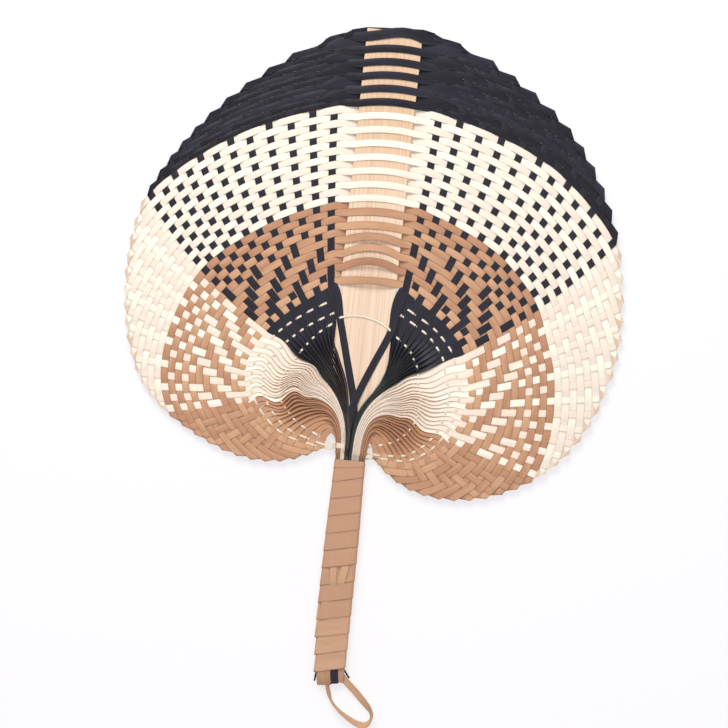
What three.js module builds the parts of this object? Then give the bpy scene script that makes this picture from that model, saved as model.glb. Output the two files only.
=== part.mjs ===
// Hand fan woven from palm leaf strips. The fan lies face up: +Y runs along the grip to the tip of the
// blade, +Z is the front face, and the origin is the middle of the grip's flat back.
import * as THREE from 'three';

// Counts of strips in each colour, from the rim of the blade inwards
const BLACK_STRIPS = 12;
const NATURAL_STRIPS = 14;
const BROWN_STRIPS = 12;

// Leaf strips, in millimetres
const STRIP_WIDTH = 4.0;
const STRIP_THICKNESS = 0.18;
const STACK_CLEARANCE = 0.05;
const WEAVE_CLEARANCE = 0.08;
// The most that a rib fills of the way to the next rib, and a weft of the way to the next weft
const RIB_FILL = 0.7;
const WEFT_FILL = 0.93;
// Wefts between two cross sections of a rib
const RIB_STEP = 6;
// How far a weft stays flat from the fold at the rim, as a share of the way to the next rib
const RIM_FLAT = 0.38;

// The inner wefts before the last one pass over two ribs and under two
const TWILL_WEFTS = 6;

// Bamboo slat down the middle of the blade
const SLAT_WIDTH = 34;
const SLAT_THICKNESS = 1.8;
const SLAT_OVERHANG = 0.6;
const SLAT_EDGE_GAP = 0.4;
const SLAT_RISE = 1.2;
const SLAT_CORNER = 1.5;
const TAPER_TOP = 77;
const TIP_HEIGHT = 27;
const TIP_WIDTH = 1.6;

// Throat, where the ribs leave the blade, turn on edge and gather above the mouth of the grip
const FIRST_GATHER = 8;
const LAST_GATHER = 4;
const GATHER_FLARE = 0.006;
// How far a rib keeps its direction after it leaves the blade: the first rib and the last
const FIRST_REACH = 150;
const LAST_REACH = 20;
// The first rib is pulled in over the front of the slat between these shares of the way
const FIRST_PULL = 4;
const PULL_START = 0.16;
const PULL_END = 0.7;
// Places along the throat, as shares of the way: the three binding strands, then the turn on edge
const STRAND_PLACES = [0.1, 0.21, 0.36];
// Beside the slat the strands lie closer to the blade, and spread to those places over the first ribs
const FIRST_STRAND_PLACES = [0.06, 0.12, 0.16];
const STRAND_SPREAD_RIBS = 16;
const TURN_PLACES = [0.43, 0.5, 0.57, 0.64, 0.78, 0.9, 1];
const TURN_SHARES = { 0.43: 0.25, 0.5: 0.5, 0.57: 0.75 };
// Step along the throat over which a rib's direction is taken
const THROAT_STEP = 0.01;
// How far the strips run down into the grip
const TAIL_REACH = 14;

// Binding strands
const STRAND_WIDTH = 1.0;
const STRAND_THICKNESS = 0.3;
const STRAND_TUCK = 4;
const STRAND_BEND = 1.6;
// Where each strand leaves the last rib for the side of the grip: distance from it, and height
const STRAND_ENDS = [
  { swing: 4.5, height: 5.5 },
  { swing: 3.6, height: 7.5 },
  { swing: 2.8, height: 9.5 },
];

// Grip
const WRAP_TURNS = 11.25;
const WRAP_WIDTH = 9.7;
const WRAP_GAP = 0.85;
const WRAP_THICKNESS = 0.45;
const WRAP_CORNER = 1.2;
const WRAP_CORNER_STEPS = 3;
const MIDDLE_TURN = 5;
const LINER_THICKNESS = 0.3;
const LINER_CLEARANCE = 0.12;
const END_TUCK_WIDTH = 8.4;
const END_TUCK_COVER = 14;
const END_TUCK_REACH = 8;

// Hanging loop and its two tails under the wrap
const LOOP_WIDTH = 3.6;
const LOOP_THICKNESS = 0.35;
const LOOP_GAP = 0.6;
const LOOP_STEPS = 2;
const TAIL_WIDTH = 3.2;
const TAIL_OFFSET = 3.1;
const TAIL_COVER_TURN = 6;
const TAIL_TOP_MARGIN = 6;
// Share of the gap between two turns of the wrap over which a tail climbs, to each side of the gap's middle
const TAIL_CLIMB = 0.25;
const CORE_STUB = 1.6;
const CORE_GAP = 0.3;
// Loose ends of a black and a tan strip in front of the foot of the grip: middle, width, drop below the wrap
const BLACK_END = { x: 3.3, width: 4.2, drop: 7.6 };
const TAN_END = { x: 7, width: 2.9, drop: 7 };
// Root of the loop's right leg, from the end of the core to the bend, as x and height above the bend
const ROOT_ROUTE = [[8.9, 5], [11.3, 3], [14.2, 0.6]];
const ROOT_STEPS = 4;

// Guide ribs of each half of the blade. share: place in the turn of the blade from the slat to the grip;
// out: distance of the inner weft from the slat's edge; up: its height above the mouth; heading: the rib's
// direction there, in degrees from +Y outwards; bend: degrees that it loses in each millimetre on the way
// to the rim; loose and rimLoose: air between wefts, and between the black ones at the rim
const LEFT_GUIDES = [
  { share: 0, out: 4.8, up: 106.5, heading: 6, bend: 0.03, loose: 0.14, rimLoose: 0.14 },
  { share: 0.135, out: 24, up: 92.5, heading: 37, bend: 0.19, loose: 0.18, rimLoose: -0.5 },
  { share: 0.297, out: 42.5, up: 75, heading: 58, bend: 0.18, loose: 0.12, rimLoose: -0.4 },
  { share: 0.459, out: 53.3, up: 57, heading: 66, bend: 0.02, loose: 0.07, rimLoose: 0 },
  { share: 0.622, out: 53, up: 37.5, heading: 93, bend: 0, loose: 0.1, rimLoose: 0 },
  { share: 0.757, out: 43.5, up: 21.5, heading: 117, bend: 0, loose: 0, rimLoose: 0 },
  { share: 0.892, out: 25.5, up: 8.5, heading: 157, bend: 0, loose: -0.2, rimLoose: 0 },
  { share: 1, out: 2, up: 4.5, heading: 205, bend: 0, loose: -0.2, rimLoose: 0 },
];
const RIGHT_GUIDES = [
  { share: 0, out: 4, up: 108, heading: 6.5, bend: 0.03, loose: 0.12, rimLoose: 0.12 },
  { share: 0.135, out: 27.5, up: 92, heading: 36, bend: 0.17, loose: 0.38, rimLoose: 0.55 },
  { share: 0.297, out: 45, up: 73, heading: 57, bend: 0.16, loose: 0.38, rimLoose: 0.6 },
  { share: 0.459, out: 52.5, up: 50, heading: 68, bend: 0, loose: 0.5, rimLoose: 0.5 },
  { share: 0.622, out: 48.5, up: 27.5, heading: 98, bend: 0, loose: 0.75, rimLoose: 0.5 },
  { share: 0.757, out: 37, up: 10.5, heading: 120, bend: 0, loose: 0.8, rimLoose: 0.5 },
  { share: 0.892, out: 18.5, up: 0.5, heading: 153, bend: 0, loose: 0.5, rimLoose: 0.5 },
  { share: 1, out: -1.5, up: 1, heading: 195, bend: 0, loose: 0.2, rimLoose: 0.5 },
];

// Route of the hanging loop from the left of the grip's end round to its right, as x and the drop below it
const LOOP_ROUTE = [
  [0, 0], [1.6, 5], [4, 10], [7.5, 14], [12, 17.3], [18, 20.6], [23, 22.4],
  [26.5, 22], [28.7, 19.3], [28.8, 15], [26, 11], [22, 7], [18, 3], [15.3, 0.3],
];

// Worked out from the sizes above
const STRIPS = BLACK_STRIPS + NATURAL_STRIPS + BROWN_STRIPS;
const LAST = STRIPS - 1;
const SLAT_EDGE = SLAT_WIDTH / 2;
const STACK_PITCH = STRIP_THICKNESS + STACK_CLEARANCE;
const STACK_START = (STACK_CLEARANCE + STRIP_THICKNESS) / 2;
const STACK_END = STACK_START + STRIPS * STACK_PITCH;
const WEFT_RISE = (STRIP_THICKNESS + WEAVE_CLEARANCE) / (1 - RIB_FILL);
const SLAT_LEVEL = SLAT_THICKNESS / 2 + STRIP_THICKNESS / 2 + WEAVE_CLEARANCE;
const STRAND_SLAT_LEVEL = SLAT_THICKNESS / 2 + STRAND_THICKNESS / 2 + WEAVE_CLEARANCE;
const SIDE_POCKET = STRAND_THICKNESS + 2 * LINER_CLEARANCE;
const CORE_HALF_WIDTH = STACK_END + SIDE_POCKET;
const CORE_HALF_DEPTH = STRIP_WIDTH / 2 + LINER_THICKNESS + 2 * LINER_CLEARANCE;
const BLADE_LEVEL = CORE_HALF_DEPTH + WRAP_THICKNESS;
const WRAP_PITCH = WRAP_WIDTH + WRAP_GAP;
const WRAP_LENGTH = WRAP_TURNS * WRAP_PITCH + WRAP_WIDTH;
const GRIP_LENGTH = WRAP_LENGTH + END_TUCK_REACH;
const CORE_END = -WRAP_LENGTH - CORE_STUB;
const OUTLINE_POINTS = 4 * WRAP_CORNER_STEPS;
const GRIP_MIDDLE = WRAP_PITCH * (MIDDLE_TURN + 1 - 0.5 / OUTLINE_POINTS) + WRAP_WIDTH / 2;

// Smooth value through hand-set guides, with the slope at each one taken from its two neighbours
function throughGuides(guides, key, share) {
  const last = guides.length - 1;
  let k = 0;
  while (k < last - 1 && share > guides[k + 1].share) k += 1;
  const slope = (index) => {
    const before = guides[Math.max(0, index - 1)];
    const after = guides[Math.min(last, index + 1)];
    return (after[key] - before[key]) / (after.share - before.share);
  };
  const from = guides[k];
  const to = guides[k + 1];
  const span = to.share - from.share;
  const s = (share - from.share) / span;
  const s2 = s * s;
  const s3 = s2 * s;
  return (2 * s3 - 3 * s2 + 1) * from[key] + (s3 - 2 * s2 + s) * span * slope(k)
    + (3 * s2 - 2 * s3) * to[key] + (s3 - s2) * span * slope(k + 1);
}

// One half of the blade: side is -1 on the left and 1 on the right
class Half {
  constructor(side, guides) {
    this.side = side;
    this.guides = guides;
  }

  guide(rib, key) {
    return throughGuides(this.guides, key, rib / LAST);
  }

  // Where a weft crosses a rib. Wefts and ribs may be fractions, for the edges of a strip
  crossing(weft, rib) {
    const firstInside = BLACK_STRIPS - 0.5;
    const pitch = STRIP_WIDTH + this.guide(rib, 'loose');
    const rimPitch = STRIP_WIDTH + this.guide(rib, 'rimLoose');
    const length = (LAST - Math.max(weft, firstInside)) * pitch + Math.max(firstInside - weft, 0) * rimPitch;
    const turned = 0.5 * this.guide(rib, 'bend') * length;
    const angle = THREE.MathUtils.degToRad(this.guide(rib, 'heading') - turned);
    const out = SLAT_EDGE + this.guide(rib, 'out') + length * Math.sin(angle);
    const up = this.guide(rib, 'up') + length * Math.cos(angle);
    return new THREE.Vector3(this.side * out, up, 0);
  }

  // Point of a rib on its way from the blade (0) to where it gathers above the grip (1)
  throat(rib, place) {
    const heading = THREE.MathUtils.degToRad(this.guide(rib, 'heading'));
    const start = new THREE.Vector2(SLAT_EDGE + this.guide(rib, 'out'), this.guide(rib, 'up'));
    const reach = THREE.MathUtils.lerp(FIRST_REACH, LAST_REACH, rib / LAST);
    const leave = new THREE.Vector2(-Math.sin(heading), -Math.cos(heading)).multiplyScalar(reach);
    const end = new THREE.Vector2(STACK_START + STACK_PITCH * rib, gatherHeight(rib));
    const fall = Math.sqrt(Math.max(3 * (start.x - end.x) + leave.x, STRIP_WIDTH) / GATHER_FLARE);
    const s2 = place * place;
    const s3 = s2 * place;
    const toStart = 2 * s3 - 3 * s2 + 1;
    const toLeave = s3 - 2 * s2 + place;
    const toFall = s3 - s2;
    const x = toStart * start.x + toLeave * leave.x + (1 - toStart) * end.x;
    const y = toStart * start.y + toLeave * leave.y + (1 - toStart) * end.y - toFall * fall;
    return new THREE.Vector3(this.side * x, y, 0);
  }

  // Direction of a rib in the throat, seen from the front, on the way from the grip to the blade
  throatHeading(rib, place) {
    return this.throat(rib, place - THROAT_STEP).sub(this.throat(rib, place + THROAT_STEP)).normalize();
  }

  // Half the width of a rib as a share of the way to its neighbour, where the neighbours lie span apart
  ribShare(span) {
    return Math.min(STRIP_WIDTH / span, RIB_FILL) / 2;
  }
}

const LEFT = new Half(-1, LEFT_GUIDES);
const RIGHT = new Half(1, RIGHT_GUIDES);

function gatherHeight(rib) {
  return THREE.MathUtils.lerp(FIRST_GATHER, LAST_GATHER, rib / LAST);
}

// True where a weft lies in front of a rib; the slat counts as the rib before the first
function inFront(weft, rib) {
  const fromInside = LAST - weft;
  if (rib >= 0 && fromInside >= 1 && fromInside <= TWILL_WEFTS) {
    return (rib + fromInside + 1) % 4 < 2;
  }
  return (weft + rib + 1) % 2 === 1;
}

// Height at which a weft crosses the slat
function slatHeight(weft) {
  const left = LEFT.crossing(weft, -0.5);
  const right = RIGHT.crossing(weft, -0.5);
  return (left.y + right.y) / 2 + SLAT_RISE;
}

// Cross section of a strip between two edges: a flat back and a low crown in the middle. An upright strip
// needs the level direction that its back faces
function crownedSection(outer, inner, thickness, facing = null) {
  const width = new THREE.Vector3().subVectors(outer, inner).normalize();
  const level = facing ?? new THREE.Vector3(width.x, width.y, 0).normalize();
  const cosine = width.dot(level);
  const crown = new THREE.Vector3(-level.x * width.z, -level.y * width.z, cosine);
  const back = crown.clone().multiplyScalar(-thickness / 2);
  const middle = new THREE.Vector3().addVectors(outer, inner).multiplyScalar(0.5);
  return [outer.clone().add(back), inner.clone().add(back), middle.addScaledVector(crown, thickness / 2)];
}

// Triangles between two cross sections, each face split along the diagonal that stands further out
function wallFaces(points, sides, near, outwards) {
  const faces = [];
  const far = near + sides;
  for (let a = 0; a < sides; a += 1) {
    const b = (a + 1) % sides;
    const [p, q, r, t] = [points[near + a], points[near + b], points[far + b], points[far + a]];
    const normal = r.clone().sub(p).cross(t.clone().sub(q)).multiplyScalar(outwards);
    const first = p.clone().add(r).dot(normal);
    const second = q.clone().add(t).dot(normal);
    if (first >= second) {
      faces.push(near + a, near + b, far + b, near + a, far + b, far + a);
    } else {
      faces.push(near + a, near + b, far + a, near + b, far + b, far + a);
    }
  }
  return faces;
}

// Closed body through a row of cross sections with equally many points
function loft(sections) {
  const sides = sections[0].length;
  const points = sections.flat();
  const end = (sections.length - 1) * sides;
  const allFaces = (outwards) => {
    const faces = [];
    for (let near = 0; near < end; near += sides) faces.push(...wallFaces(points, sides, near, outwards));
    for (let a = 1; a + 1 < sides; a += 1) faces.push(0, a + 1, a, end, end + a, end + a + 1);
    return faces;
  };
  const volume = (faces) => {
    let sum = 0;
    for (let f = 0; f < faces.length; f += 3) {
      const [a, b, c] = [points[faces[f]], points[faces[f + 1]], points[faces[f + 2]]];
      sum += a.dot(new THREE.Vector3().crossVectors(b, c));
    }
    return sum;
  };
  let faces = allFaces(1);
  if (volume(faces) < 0) faces = allFaces(-1).reverse();
  const geometry = new THREE.BufferGeometry();
  geometry.setAttribute('position', new THREE.Float32BufferAttribute(points.flatMap((p) => p.toArray()), 3));
  geometry.setIndex(faces);
  geometry.computeVertexNormals();
  return geometry;
}

// Cross section of a rib in the throat, from flat (turned 0) to on edge (turned 1)
function throatSection(half, rib, place, turned) {
  const heading = half.throatHeading(rib, place);
  const outwards = new THREE.Vector3(heading.y, -heading.x, 0).multiplyScalar(half.side);
  const room = half.throat(rib + 0.5, place).sub(half.throat(rib - 0.5, place)).dot(outwards);
  const reach = Math.min(STRIP_WIDTH, RIB_FILL * Math.max(room, 0)) / 2;
  const tall = Math.sqrt((STRIP_WIDTH / 2) ** 2 - reach ** 2);
  const edge = outwards.multiplyScalar(reach).setZ(tall * turned);
  const middle = half.throat(rib, place);
  return crownedSection(middle.clone().add(edge), middle.clone().sub(edge), STRIP_THICKNESS);
}

// The first rib of each half rises to lie flat on the front of the slat's taper before it joins the others
function firstRibRise(place) {
  const start = FIRST_STRAND_PLACES[0];
  return SLAT_LEVEL * THREE.MathUtils.clamp((place - start) / (STRAND_PLACES[0] - start), 0, 1);
}

function firstRibPull(half, place) {
  const share = THREE.MathUtils.clamp((place - PULL_START) / (PULL_END - PULL_START), 0, 1);
  return -half.side * FIRST_PULL * Math.sin(Math.PI * share) ** 2;
}

function firstRibSection(half, place) {
  const span = half.throat(0.5, place).distanceTo(half.throat(-0.5, place));
  const share = half.ribShare(span);
  const outer = half.throat(share, place);
  const inner = half.throat(-share, place);
  outer.x += firstRibPull(half, place);
  inner.x += firstRibPull(half, place);
  if (place > STRAND_PLACES[1]) {
    const along = new THREE.Vector3().subVectors(outer, inner).normalize();
    inner.copy(outer).addScaledVector(along, -STRIP_WIDTH);
    const limit = STACK_CLEARANCE / 2;
    if (half.side * inner.x < limit) inner.x = half.side * limit;
  }
  outer.z = firstRibRise(place);
  inner.z = outer.z;
  return crownedSection(outer, inner, STRIP_THICKNESS);
}

// A strip's tail in the grip and its rib as far as the inner weft, from the grip upwards
function throatSections(half, rib) {
  const sections = [];
  const gathered = throatSection(half, rib, 1, 1);
  const drop = gatherHeight(rib) + TAIL_REACH;
  sections.push(gathered.map((p) => p.clone().add(new THREE.Vector3(0, -drop, 0))));
  sections.push(gathered);
  for (const place of TURN_PLACES.slice(0, -1).reverse()) {
    const turned = TURN_SHARES[place] ?? 1;
    sections.push(rib === 0 ? firstRibSection(half, place) : throatSection(half, rib, place, turned));
  }
  for (const place of STRAND_PLACES.slice().reverse()) {
    sections.push(rib === 0 ? firstRibSection(half, place) : throatSection(half, rib, place, 0));
  }
  if (rib === 0) sections.push(firstRibSection(half, FIRST_STRAND_PLACES[0]));
  return sections;
}

// The rib in the blade, from the inner weft to just inside the rim
function ribSections(half, rib) {
  const sections = [];
  for (let weft = LAST; weft > rib; weft -= RIB_STEP) {
    const span = half.crossing(weft, rib + 0.5).distanceTo(half.crossing(weft, rib - 0.5));
    const share = half.ribShare(span);
    const outer = half.crossing(weft, rib + share);
    const inner = half.crossing(weft, rib - share);
    sections.push(crownedSection(outer, inner, STRIP_THICKNESS));
  }
  return sections;
}

// The fold at the rim, where the rib turns into a weft and leaves a tooth
function rimSection(half, strip) {
  const span = half.crossing(strip, strip + 0.5).distanceTo(half.crossing(strip, strip - 0.5));
  const share = half.ribShare(span);
  const tooth = half.crossing(strip - WEFT_FILL / 2, strip + share);
  const corner = half.crossing(strip + WEFT_FILL / 2, strip - share);
  return crownedSection(tooth, corner, STRIP_THICKNESS);
}

// The weft from the rim to the slat, over and under each rib
function weftSections(half, strip) {
  const sections = [];
  const at = (rib, level) => {
    const outer = half.crossing(strip - WEFT_FILL / 2, rib);
    const inner = half.crossing(strip + WEFT_FILL / 2, rib);
    outer.z = level;
    inner.z = level;
    return crownedSection(outer, inner, STRIP_THICKNESS);
  };
  if (strip > 0) sections.push(at(strip - RIM_FLAT, 0));
  for (let rib = strip - 1; rib >= 0; rib -= 1) {
    sections.push(at(rib, inFront(strip, rib) ? WEFT_RISE : -WEFT_RISE));
  }
  sections.push(at(-0.5, 0));
  const level = inFront(strip, -1) ? SLAT_LEVEL : -SLAT_LEVEL;
  const edge = half.side * (SLAT_EDGE + SLAT_EDGE_GAP);
  const top = new THREE.Vector3(edge, slatHeight(strip - WEFT_FILL / 2), level);
  const bottom = new THREE.Vector3(edge, slatHeight(strip + WEFT_FILL / 2), level);
  sections.push(crownedSection(top, bottom, STRIP_THICKNESS));
  return sections;
}

// One whole strip: tail, rib and weft on the left, across the slat, then the same on the right
function leafStrip(strip) {
  const halfSections = (half) => [
    ...throatSections(half, strip),
    ...ribSections(half, strip),
    rimSection(half, strip),
    ...weftSections(half, strip),
  ];
  return loft([...halfSections(LEFT), ...halfSections(RIGHT).reverse()]);
}

// A strand's cross section, from its middle and the direction of its width
function strandSection(middle, across, facing = null) {
  const outer = middle.clone().addScaledVector(across, STRAND_WIDTH / 2);
  const inner = middle.clone().addScaledVector(across, -STRAND_WIDTH / 2);
  return crownedSection(outer, inner, STRAND_THICKNESS, facing);
}

// Where a strand crosses a rib, as a share of the way along the throat
function strandPlace(index, rib) {
  const spread = THREE.MathUtils.smoothstep(rib, 0, STRAND_SPREAD_RIBS);
  return THREE.MathUtils.lerp(FIRST_STRAND_PLACES[index], STRAND_PLACES[index], spread);
}

// Half of a binding strand, from the side of the grip over and under the ribs to the slat
function strandHalf(half, index) {
  const sections = [];
  const ending = STRAND_ENDS[index];
  const upright = new THREE.Vector3(0, 0, 1);
  const outwards = new THREE.Vector3(half.side, 0, 0);
  const tuckX = half.side * (STACK_END + LINER_CLEARANCE + STRAND_THICKNESS / 2);
  const swingX = tuckX + half.side * ending.swing;
  const level = (index - 1) * (STRAND_WIDTH + LINER_CLEARANCE);
  const ends = [
    [tuckX, -STRAND_TUCK, level],
    [tuckX, STRAND_BEND, level],
    [swingX, ending.height, level / 2],
  ];
  ends.forEach((end) => sections.push(strandSection(new THREE.Vector3(...end), upright, outwards)));
  const inFrontOfSlat = index === STRAND_PLACES.length - 1;
  for (let rib = LAST; rib >= 0; rib -= 1) {
    const place = strandPlace(index, rib);
    const middle = half.throat(rib, place);
    const across = half.throatHeading(rib, place);
    const over = inFrontOfSlat ? rib === 0 || rib % 2 === 1 : (rib + index) % 2 === 0;
    middle.z = over ? WEFT_RISE : -WEFT_RISE;
    if (rib === 0) middle.add(new THREE.Vector3(firstRibPull(half, place), 0, firstRibRise(place)));
    sections.push(strandSection(middle, across));
  }
  const across = new THREE.Vector3(0, 1, 0);
  const place = FIRST_STRAND_PLACES[index];
  if (index === 0) {
    const beside = half.throat(-0.5, place);
    beside.add(new THREE.Vector3(firstRibPull(half, place), 0, firstRibRise(place)));
    sections.push(strandSection(beside, across));
  }
  const edge = inFrontOfSlat ? half.throat(0, TURN_PLACES[0]).x : half.side * (SLAT_EDGE + SLAT_EDGE_GAP);
  const depth = inFrontOfSlat ? SLAT_LEVEL + WEFT_RISE : -STRAND_SLAT_LEVEL;
  sections.push(strandSection(new THREE.Vector3(edge, half.throat(0, place).y + SLAT_RISE, depth), across));
  return sections;
}

function bindingStrand(index) {
  return loft([...strandHalf(LEFT, index), ...strandHalf(RIGHT, index).reverse()]);
}

// Slat: a plain board with clipped top corners, tapered at the foot to a blunt tip between the ribs
function bambooSlat() {
  const top = slatHeight(-WEFT_FILL / 2) + SLAT_OVERHANG;
  const tip = TIP_WIDTH / 2;
  const outline = new THREE.Shape([
    new THREE.Vector2(-tip, TIP_HEIGHT),
    new THREE.Vector2(tip, TIP_HEIGHT),
    new THREE.Vector2(SLAT_EDGE, TAPER_TOP),
    new THREE.Vector2(SLAT_EDGE, top - SLAT_CORNER),
    new THREE.Vector2(SLAT_EDGE - SLAT_CORNER, top),
    new THREE.Vector2(SLAT_CORNER - SLAT_EDGE, top),
    new THREE.Vector2(-SLAT_EDGE, top - SLAT_CORNER),
    new THREE.Vector2(-SLAT_EDGE, TAPER_TOP),
  ]);
  const geometry = new THREE.ExtrudeGeometry(outline, { depth: SLAT_THICKNESS, bevelEnabled: false });
  return geometry.translate(0, 0, -SLAT_THICKNESS / 2);
}

// Point on the rounded outline of the grip's core, set out by offset, at a share of one turn
function coreOutline(offset) {
  const points = [];
  const radius = WRAP_CORNER + offset;
  const corners = [[1, -1], [1, 1], [-1, 1], [-1, -1]];
  corners.forEach(([sx, sz], quarter) => {
    for (let k = 0; k < WRAP_CORNER_STEPS; k += 1) {
      const angle = (quarter - 1 + k / (WRAP_CORNER_STEPS - 1)) * Math.PI / 2;
      const x = sx * (CORE_HALF_WIDTH - WRAP_CORNER) + radius * Math.cos(angle);
      const z = sz * (CORE_HALF_DEPTH - WRAP_CORNER) + radius * Math.sin(angle);
      points.push(new THREE.Vector2(x, z));
    }
  });
  return points;
}

// Drop of the wrap's upper edge below the mouth after a number of outline points
function wrapDrop(step) {
  return WRAP_PITCH * step / OUTLINE_POINTS;
}

// Wrap: one flat strip wound round the grip in a helix
function gripWrap() {
  const inside = coreOutline(0);
  const outside = coreOutline(WRAP_THICKNESS);
  const steps = WRAP_TURNS * OUTLINE_POINTS;
  const sections = [];
  for (let k = 0; k <= steps; k += 1) {
    const near = inside[k % OUTLINE_POINTS];
    const far = outside[k % OUTLINE_POINTS];
    const top = -wrapDrop(k);
    const foot = top - WRAP_WIDTH;
    sections.push([
      new THREE.Vector3(near.x, top, near.y),
      new THREE.Vector3(far.x, top, far.y),
      new THREE.Vector3(far.x, foot, far.y),
      new THREE.Vector3(near.x, foot, near.y),
    ]);
  }
  let least = Infinity;
  for (let k = 0; k + OUTLINE_POINTS <= steps; k += 1) {
    const foot = sections[k][3];
    const next = sections[k + OUTLINE_POINTS][0];
    least = Math.min(least, foot.distanceTo(next));
  }
  console.log(`least gap between turns of the grip wrap: ${least.toFixed(2)} mm`);
  return loft(sections);
}

// Flat bar of a strip along Y, from its middle points, its width along X and its thickness along Z
function flatRun(points, width, thickness) {
  return loft(points.map((p) => [
    new THREE.Vector3(p.x - width / 2, p.y, p.z - thickness / 2),
    new THREE.Vector3(p.x + width / 2, p.y, p.z - thickness / 2),
    new THREE.Vector3(p.x + width / 2, p.y, p.z + thickness / 2),
    new THREE.Vector3(p.x - width / 2, p.y, p.z + thickness / 2),
  ]));
}

// Half of the packing that fills the grip below the ends of the strips
function gripCore(side) {
  const inner = STACK_CLEARANCE / 2;
  const middle = side * (inner + STACK_END) / 2;
  const ends = [-TAIL_REACH - CORE_GAP, CORE_END];
  return flatRun(ends.map((y) => new THREE.Vector3(middle, y, 0)), STACK_END - inner, STRIP_WIDTH);
}

// Loose end of a strip, flat on the front of the core, that shows below the wrap
function stripEnd({ x, width, drop }) {
  const face = STRIP_WIDTH / 2 + LINER_CLEARANCE + LINER_THICKNESS / 2;
  const ends = [-WRAP_LENGTH + END_TUCK_COVER, -WRAP_LENGTH - drop];
  return flatRun(ends.map((y) => new THREE.Vector3(x, y, face)), width, LINER_THICKNESS);
}

// End of the wrap strip, folded over the foot of the grip and tucked under the turns on both faces
function wrapEndTuck() {
  const face = STRIP_WIDTH / 2 + LINER_CLEARANCE + LINER_THICKNESS / 2;
  const under = -WRAP_LENGTH + END_TUCK_COVER;
  const foot = -GRIP_LENGTH;
  const x = (LINER_CLEARANCE - END_TUCK_WIDTH) / 2 - LINER_CLEARANCE;
  const half = LINER_THICKNESS / 2;
  const section = (y, z, ny, nz) => [-END_TUCK_WIDTH / 2, END_TUCK_WIDTH / 2].map((dx) => [
    new THREE.Vector3(x + dx, y - ny * half, z - nz * half),
    new THREE.Vector3(x + dx, y + ny * half, z + nz * half),
  ]);
  const ring = (y, z, ny, nz) => {
    const [[leftIn, leftOut], [rightIn, rightOut]] = section(y, z, ny, nz);
    return [leftIn, rightIn, rightOut, leftOut];
  };
  const bend = Math.SQRT1_2;
  return loft([
    ring(under, face, 0, 1),
    ring(foot + face, face, 0, 1),
    ring(foot + face * (1 - bend), face * bend, -bend, bend),
    ring(foot, 0, -1, 0),
    ring(foot + face * (1 - bend), -face * bend, -bend, -bend),
    ring(foot + face, -face, 0, -1),
    ring(under, -face, 0, -1),
  ]);
}

// Tail of the hanging loop: runs up the front under the wrap and shows over one turn
function loopTail(side) {
  const x = side * TAIL_OFFSET;
  const low = STRIP_WIDTH / 2 + LINER_CLEARANCE + LINER_THICKNESS / 2;
  const high = CORE_HALF_DEPTH + WRAP_THICKNESS + LINER_CLEARANCE + LINER_THICKNESS / 2;
  const flat = CORE_HALF_WIDTH - WRAP_CORNER;
  const acrossFront = (flat - x) / (2 * flat);
  const frontStep = 2 * WRAP_CORNER_STEPS - 1 + acrossFront;
  const gapMiddle = (turn) => -wrapDrop(turn * OUTLINE_POINTS + frontStep) + WRAP_GAP / 2;
  const upper = gapMiddle(TAIL_COVER_TURN);
  const lower = gapMiddle(TAIL_COVER_TURN + 1);
  const climb = TAIL_CLIMB * WRAP_GAP;
  const under = -WRAP_LENGTH + END_TUCK_COVER + LINER_CLEARANCE;
  const point = (y, z) => new THREE.Vector3(x, y, z);
  return flatRun([
    point(-TAIL_TOP_MARGIN, low),
    point(upper + climb, low),
    point(upper - climb, high),
    point(lower + climb, high),
    point(lower - climb, low),
    point(under, low),
  ], TAIL_WIDTH, LINER_THICKNESS);
}

// Flat strip in the plane of the fan, along a smooth route of x and height
function flatBend(route, steps, width, thickness) {
  const curve = new THREE.CatmullRomCurve3(route.map(([x, y]) => new THREE.Vector3(x, y, 0)));
  const up = new THREE.Vector3(0, 0, thickness / 2);
  const sections = [];
  for (let k = 0; k <= steps; k += 1) {
    const p = curve.getPointAt(k / steps);
    const along = curve.getTangentAt(k / steps);
    const across = new THREE.Vector3(-along.y, along.x, 0).multiplyScalar(width / 2);
    const left = p.clone().add(across);
    const right = p.clone().sub(across);
    sections.push([left.clone().sub(up), right.clone().sub(up), right.clone().add(up), left.clone().add(up)]);
  }
  return loft(sections);
}

// Hanging loop: one strip bent into a ring in the plane of the fan
function hangingLoop() {
  const route = LOOP_ROUTE.map(([x, drop]) => [x, -drop]);
  return flatBend(route, LOOP_STEPS * (LOOP_ROUTE.length - 1), LOOP_WIDTH, LOOP_THICKNESS);
}

function leafMaterial(colour, roughness) {
  return new THREE.MeshStandardMaterial({ color: colour, roughness, metalness: 0 });
}

const fan = new THREE.Group();

function add(name, geometry, material) {
  const mesh = new THREE.Mesh(geometry, material);
  mesh.name = name;
  fan.add(mesh);
  return mesh;
}

const COLOURS = [
  { name: 'black', count: BLACK_STRIPS, colour: 0x2b2a31, roughness: 0.5 },
  { name: 'natural', count: NATURAL_STRIPS, colour: 0xf8ecd2, roughness: 0.55 },
  { name: 'brown', count: BROWN_STRIPS, colour: 0xbf8c63, roughness: 0.55 },
];
let strip = 0;
for (const { name, count, colour, roughness } of COLOURS) {
  for (let k = 1; k <= count; k += 1) {
    add(`${name}_strip_${String(k).padStart(2, '0')}`, leafStrip(strip), leafMaterial(colour, roughness));
    strip += 1;
  }
}
add('bamboo_slat', bambooSlat(), leafMaterial(0xecc99b, 0.6));
STRAND_PLACES.forEach((_, index) => {
  add(`binding_strand_${index + 1}`, bindingStrand(index), leafMaterial(0xead6b0, 0.6));
});
add('grip_wrap', gripWrap(), leafMaterial(0xc39770, 0.55));
add('wrap_end_tuck', wrapEndTuck(), leafMaterial(0xc39770, 0.55));
add('loop_tail_left', loopTail(-1), leafMaterial(0xbb8c66, 0.55));
add('loop_tail_right', loopTail(1), leafMaterial(0xbb8c66, 0.55));
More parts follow.
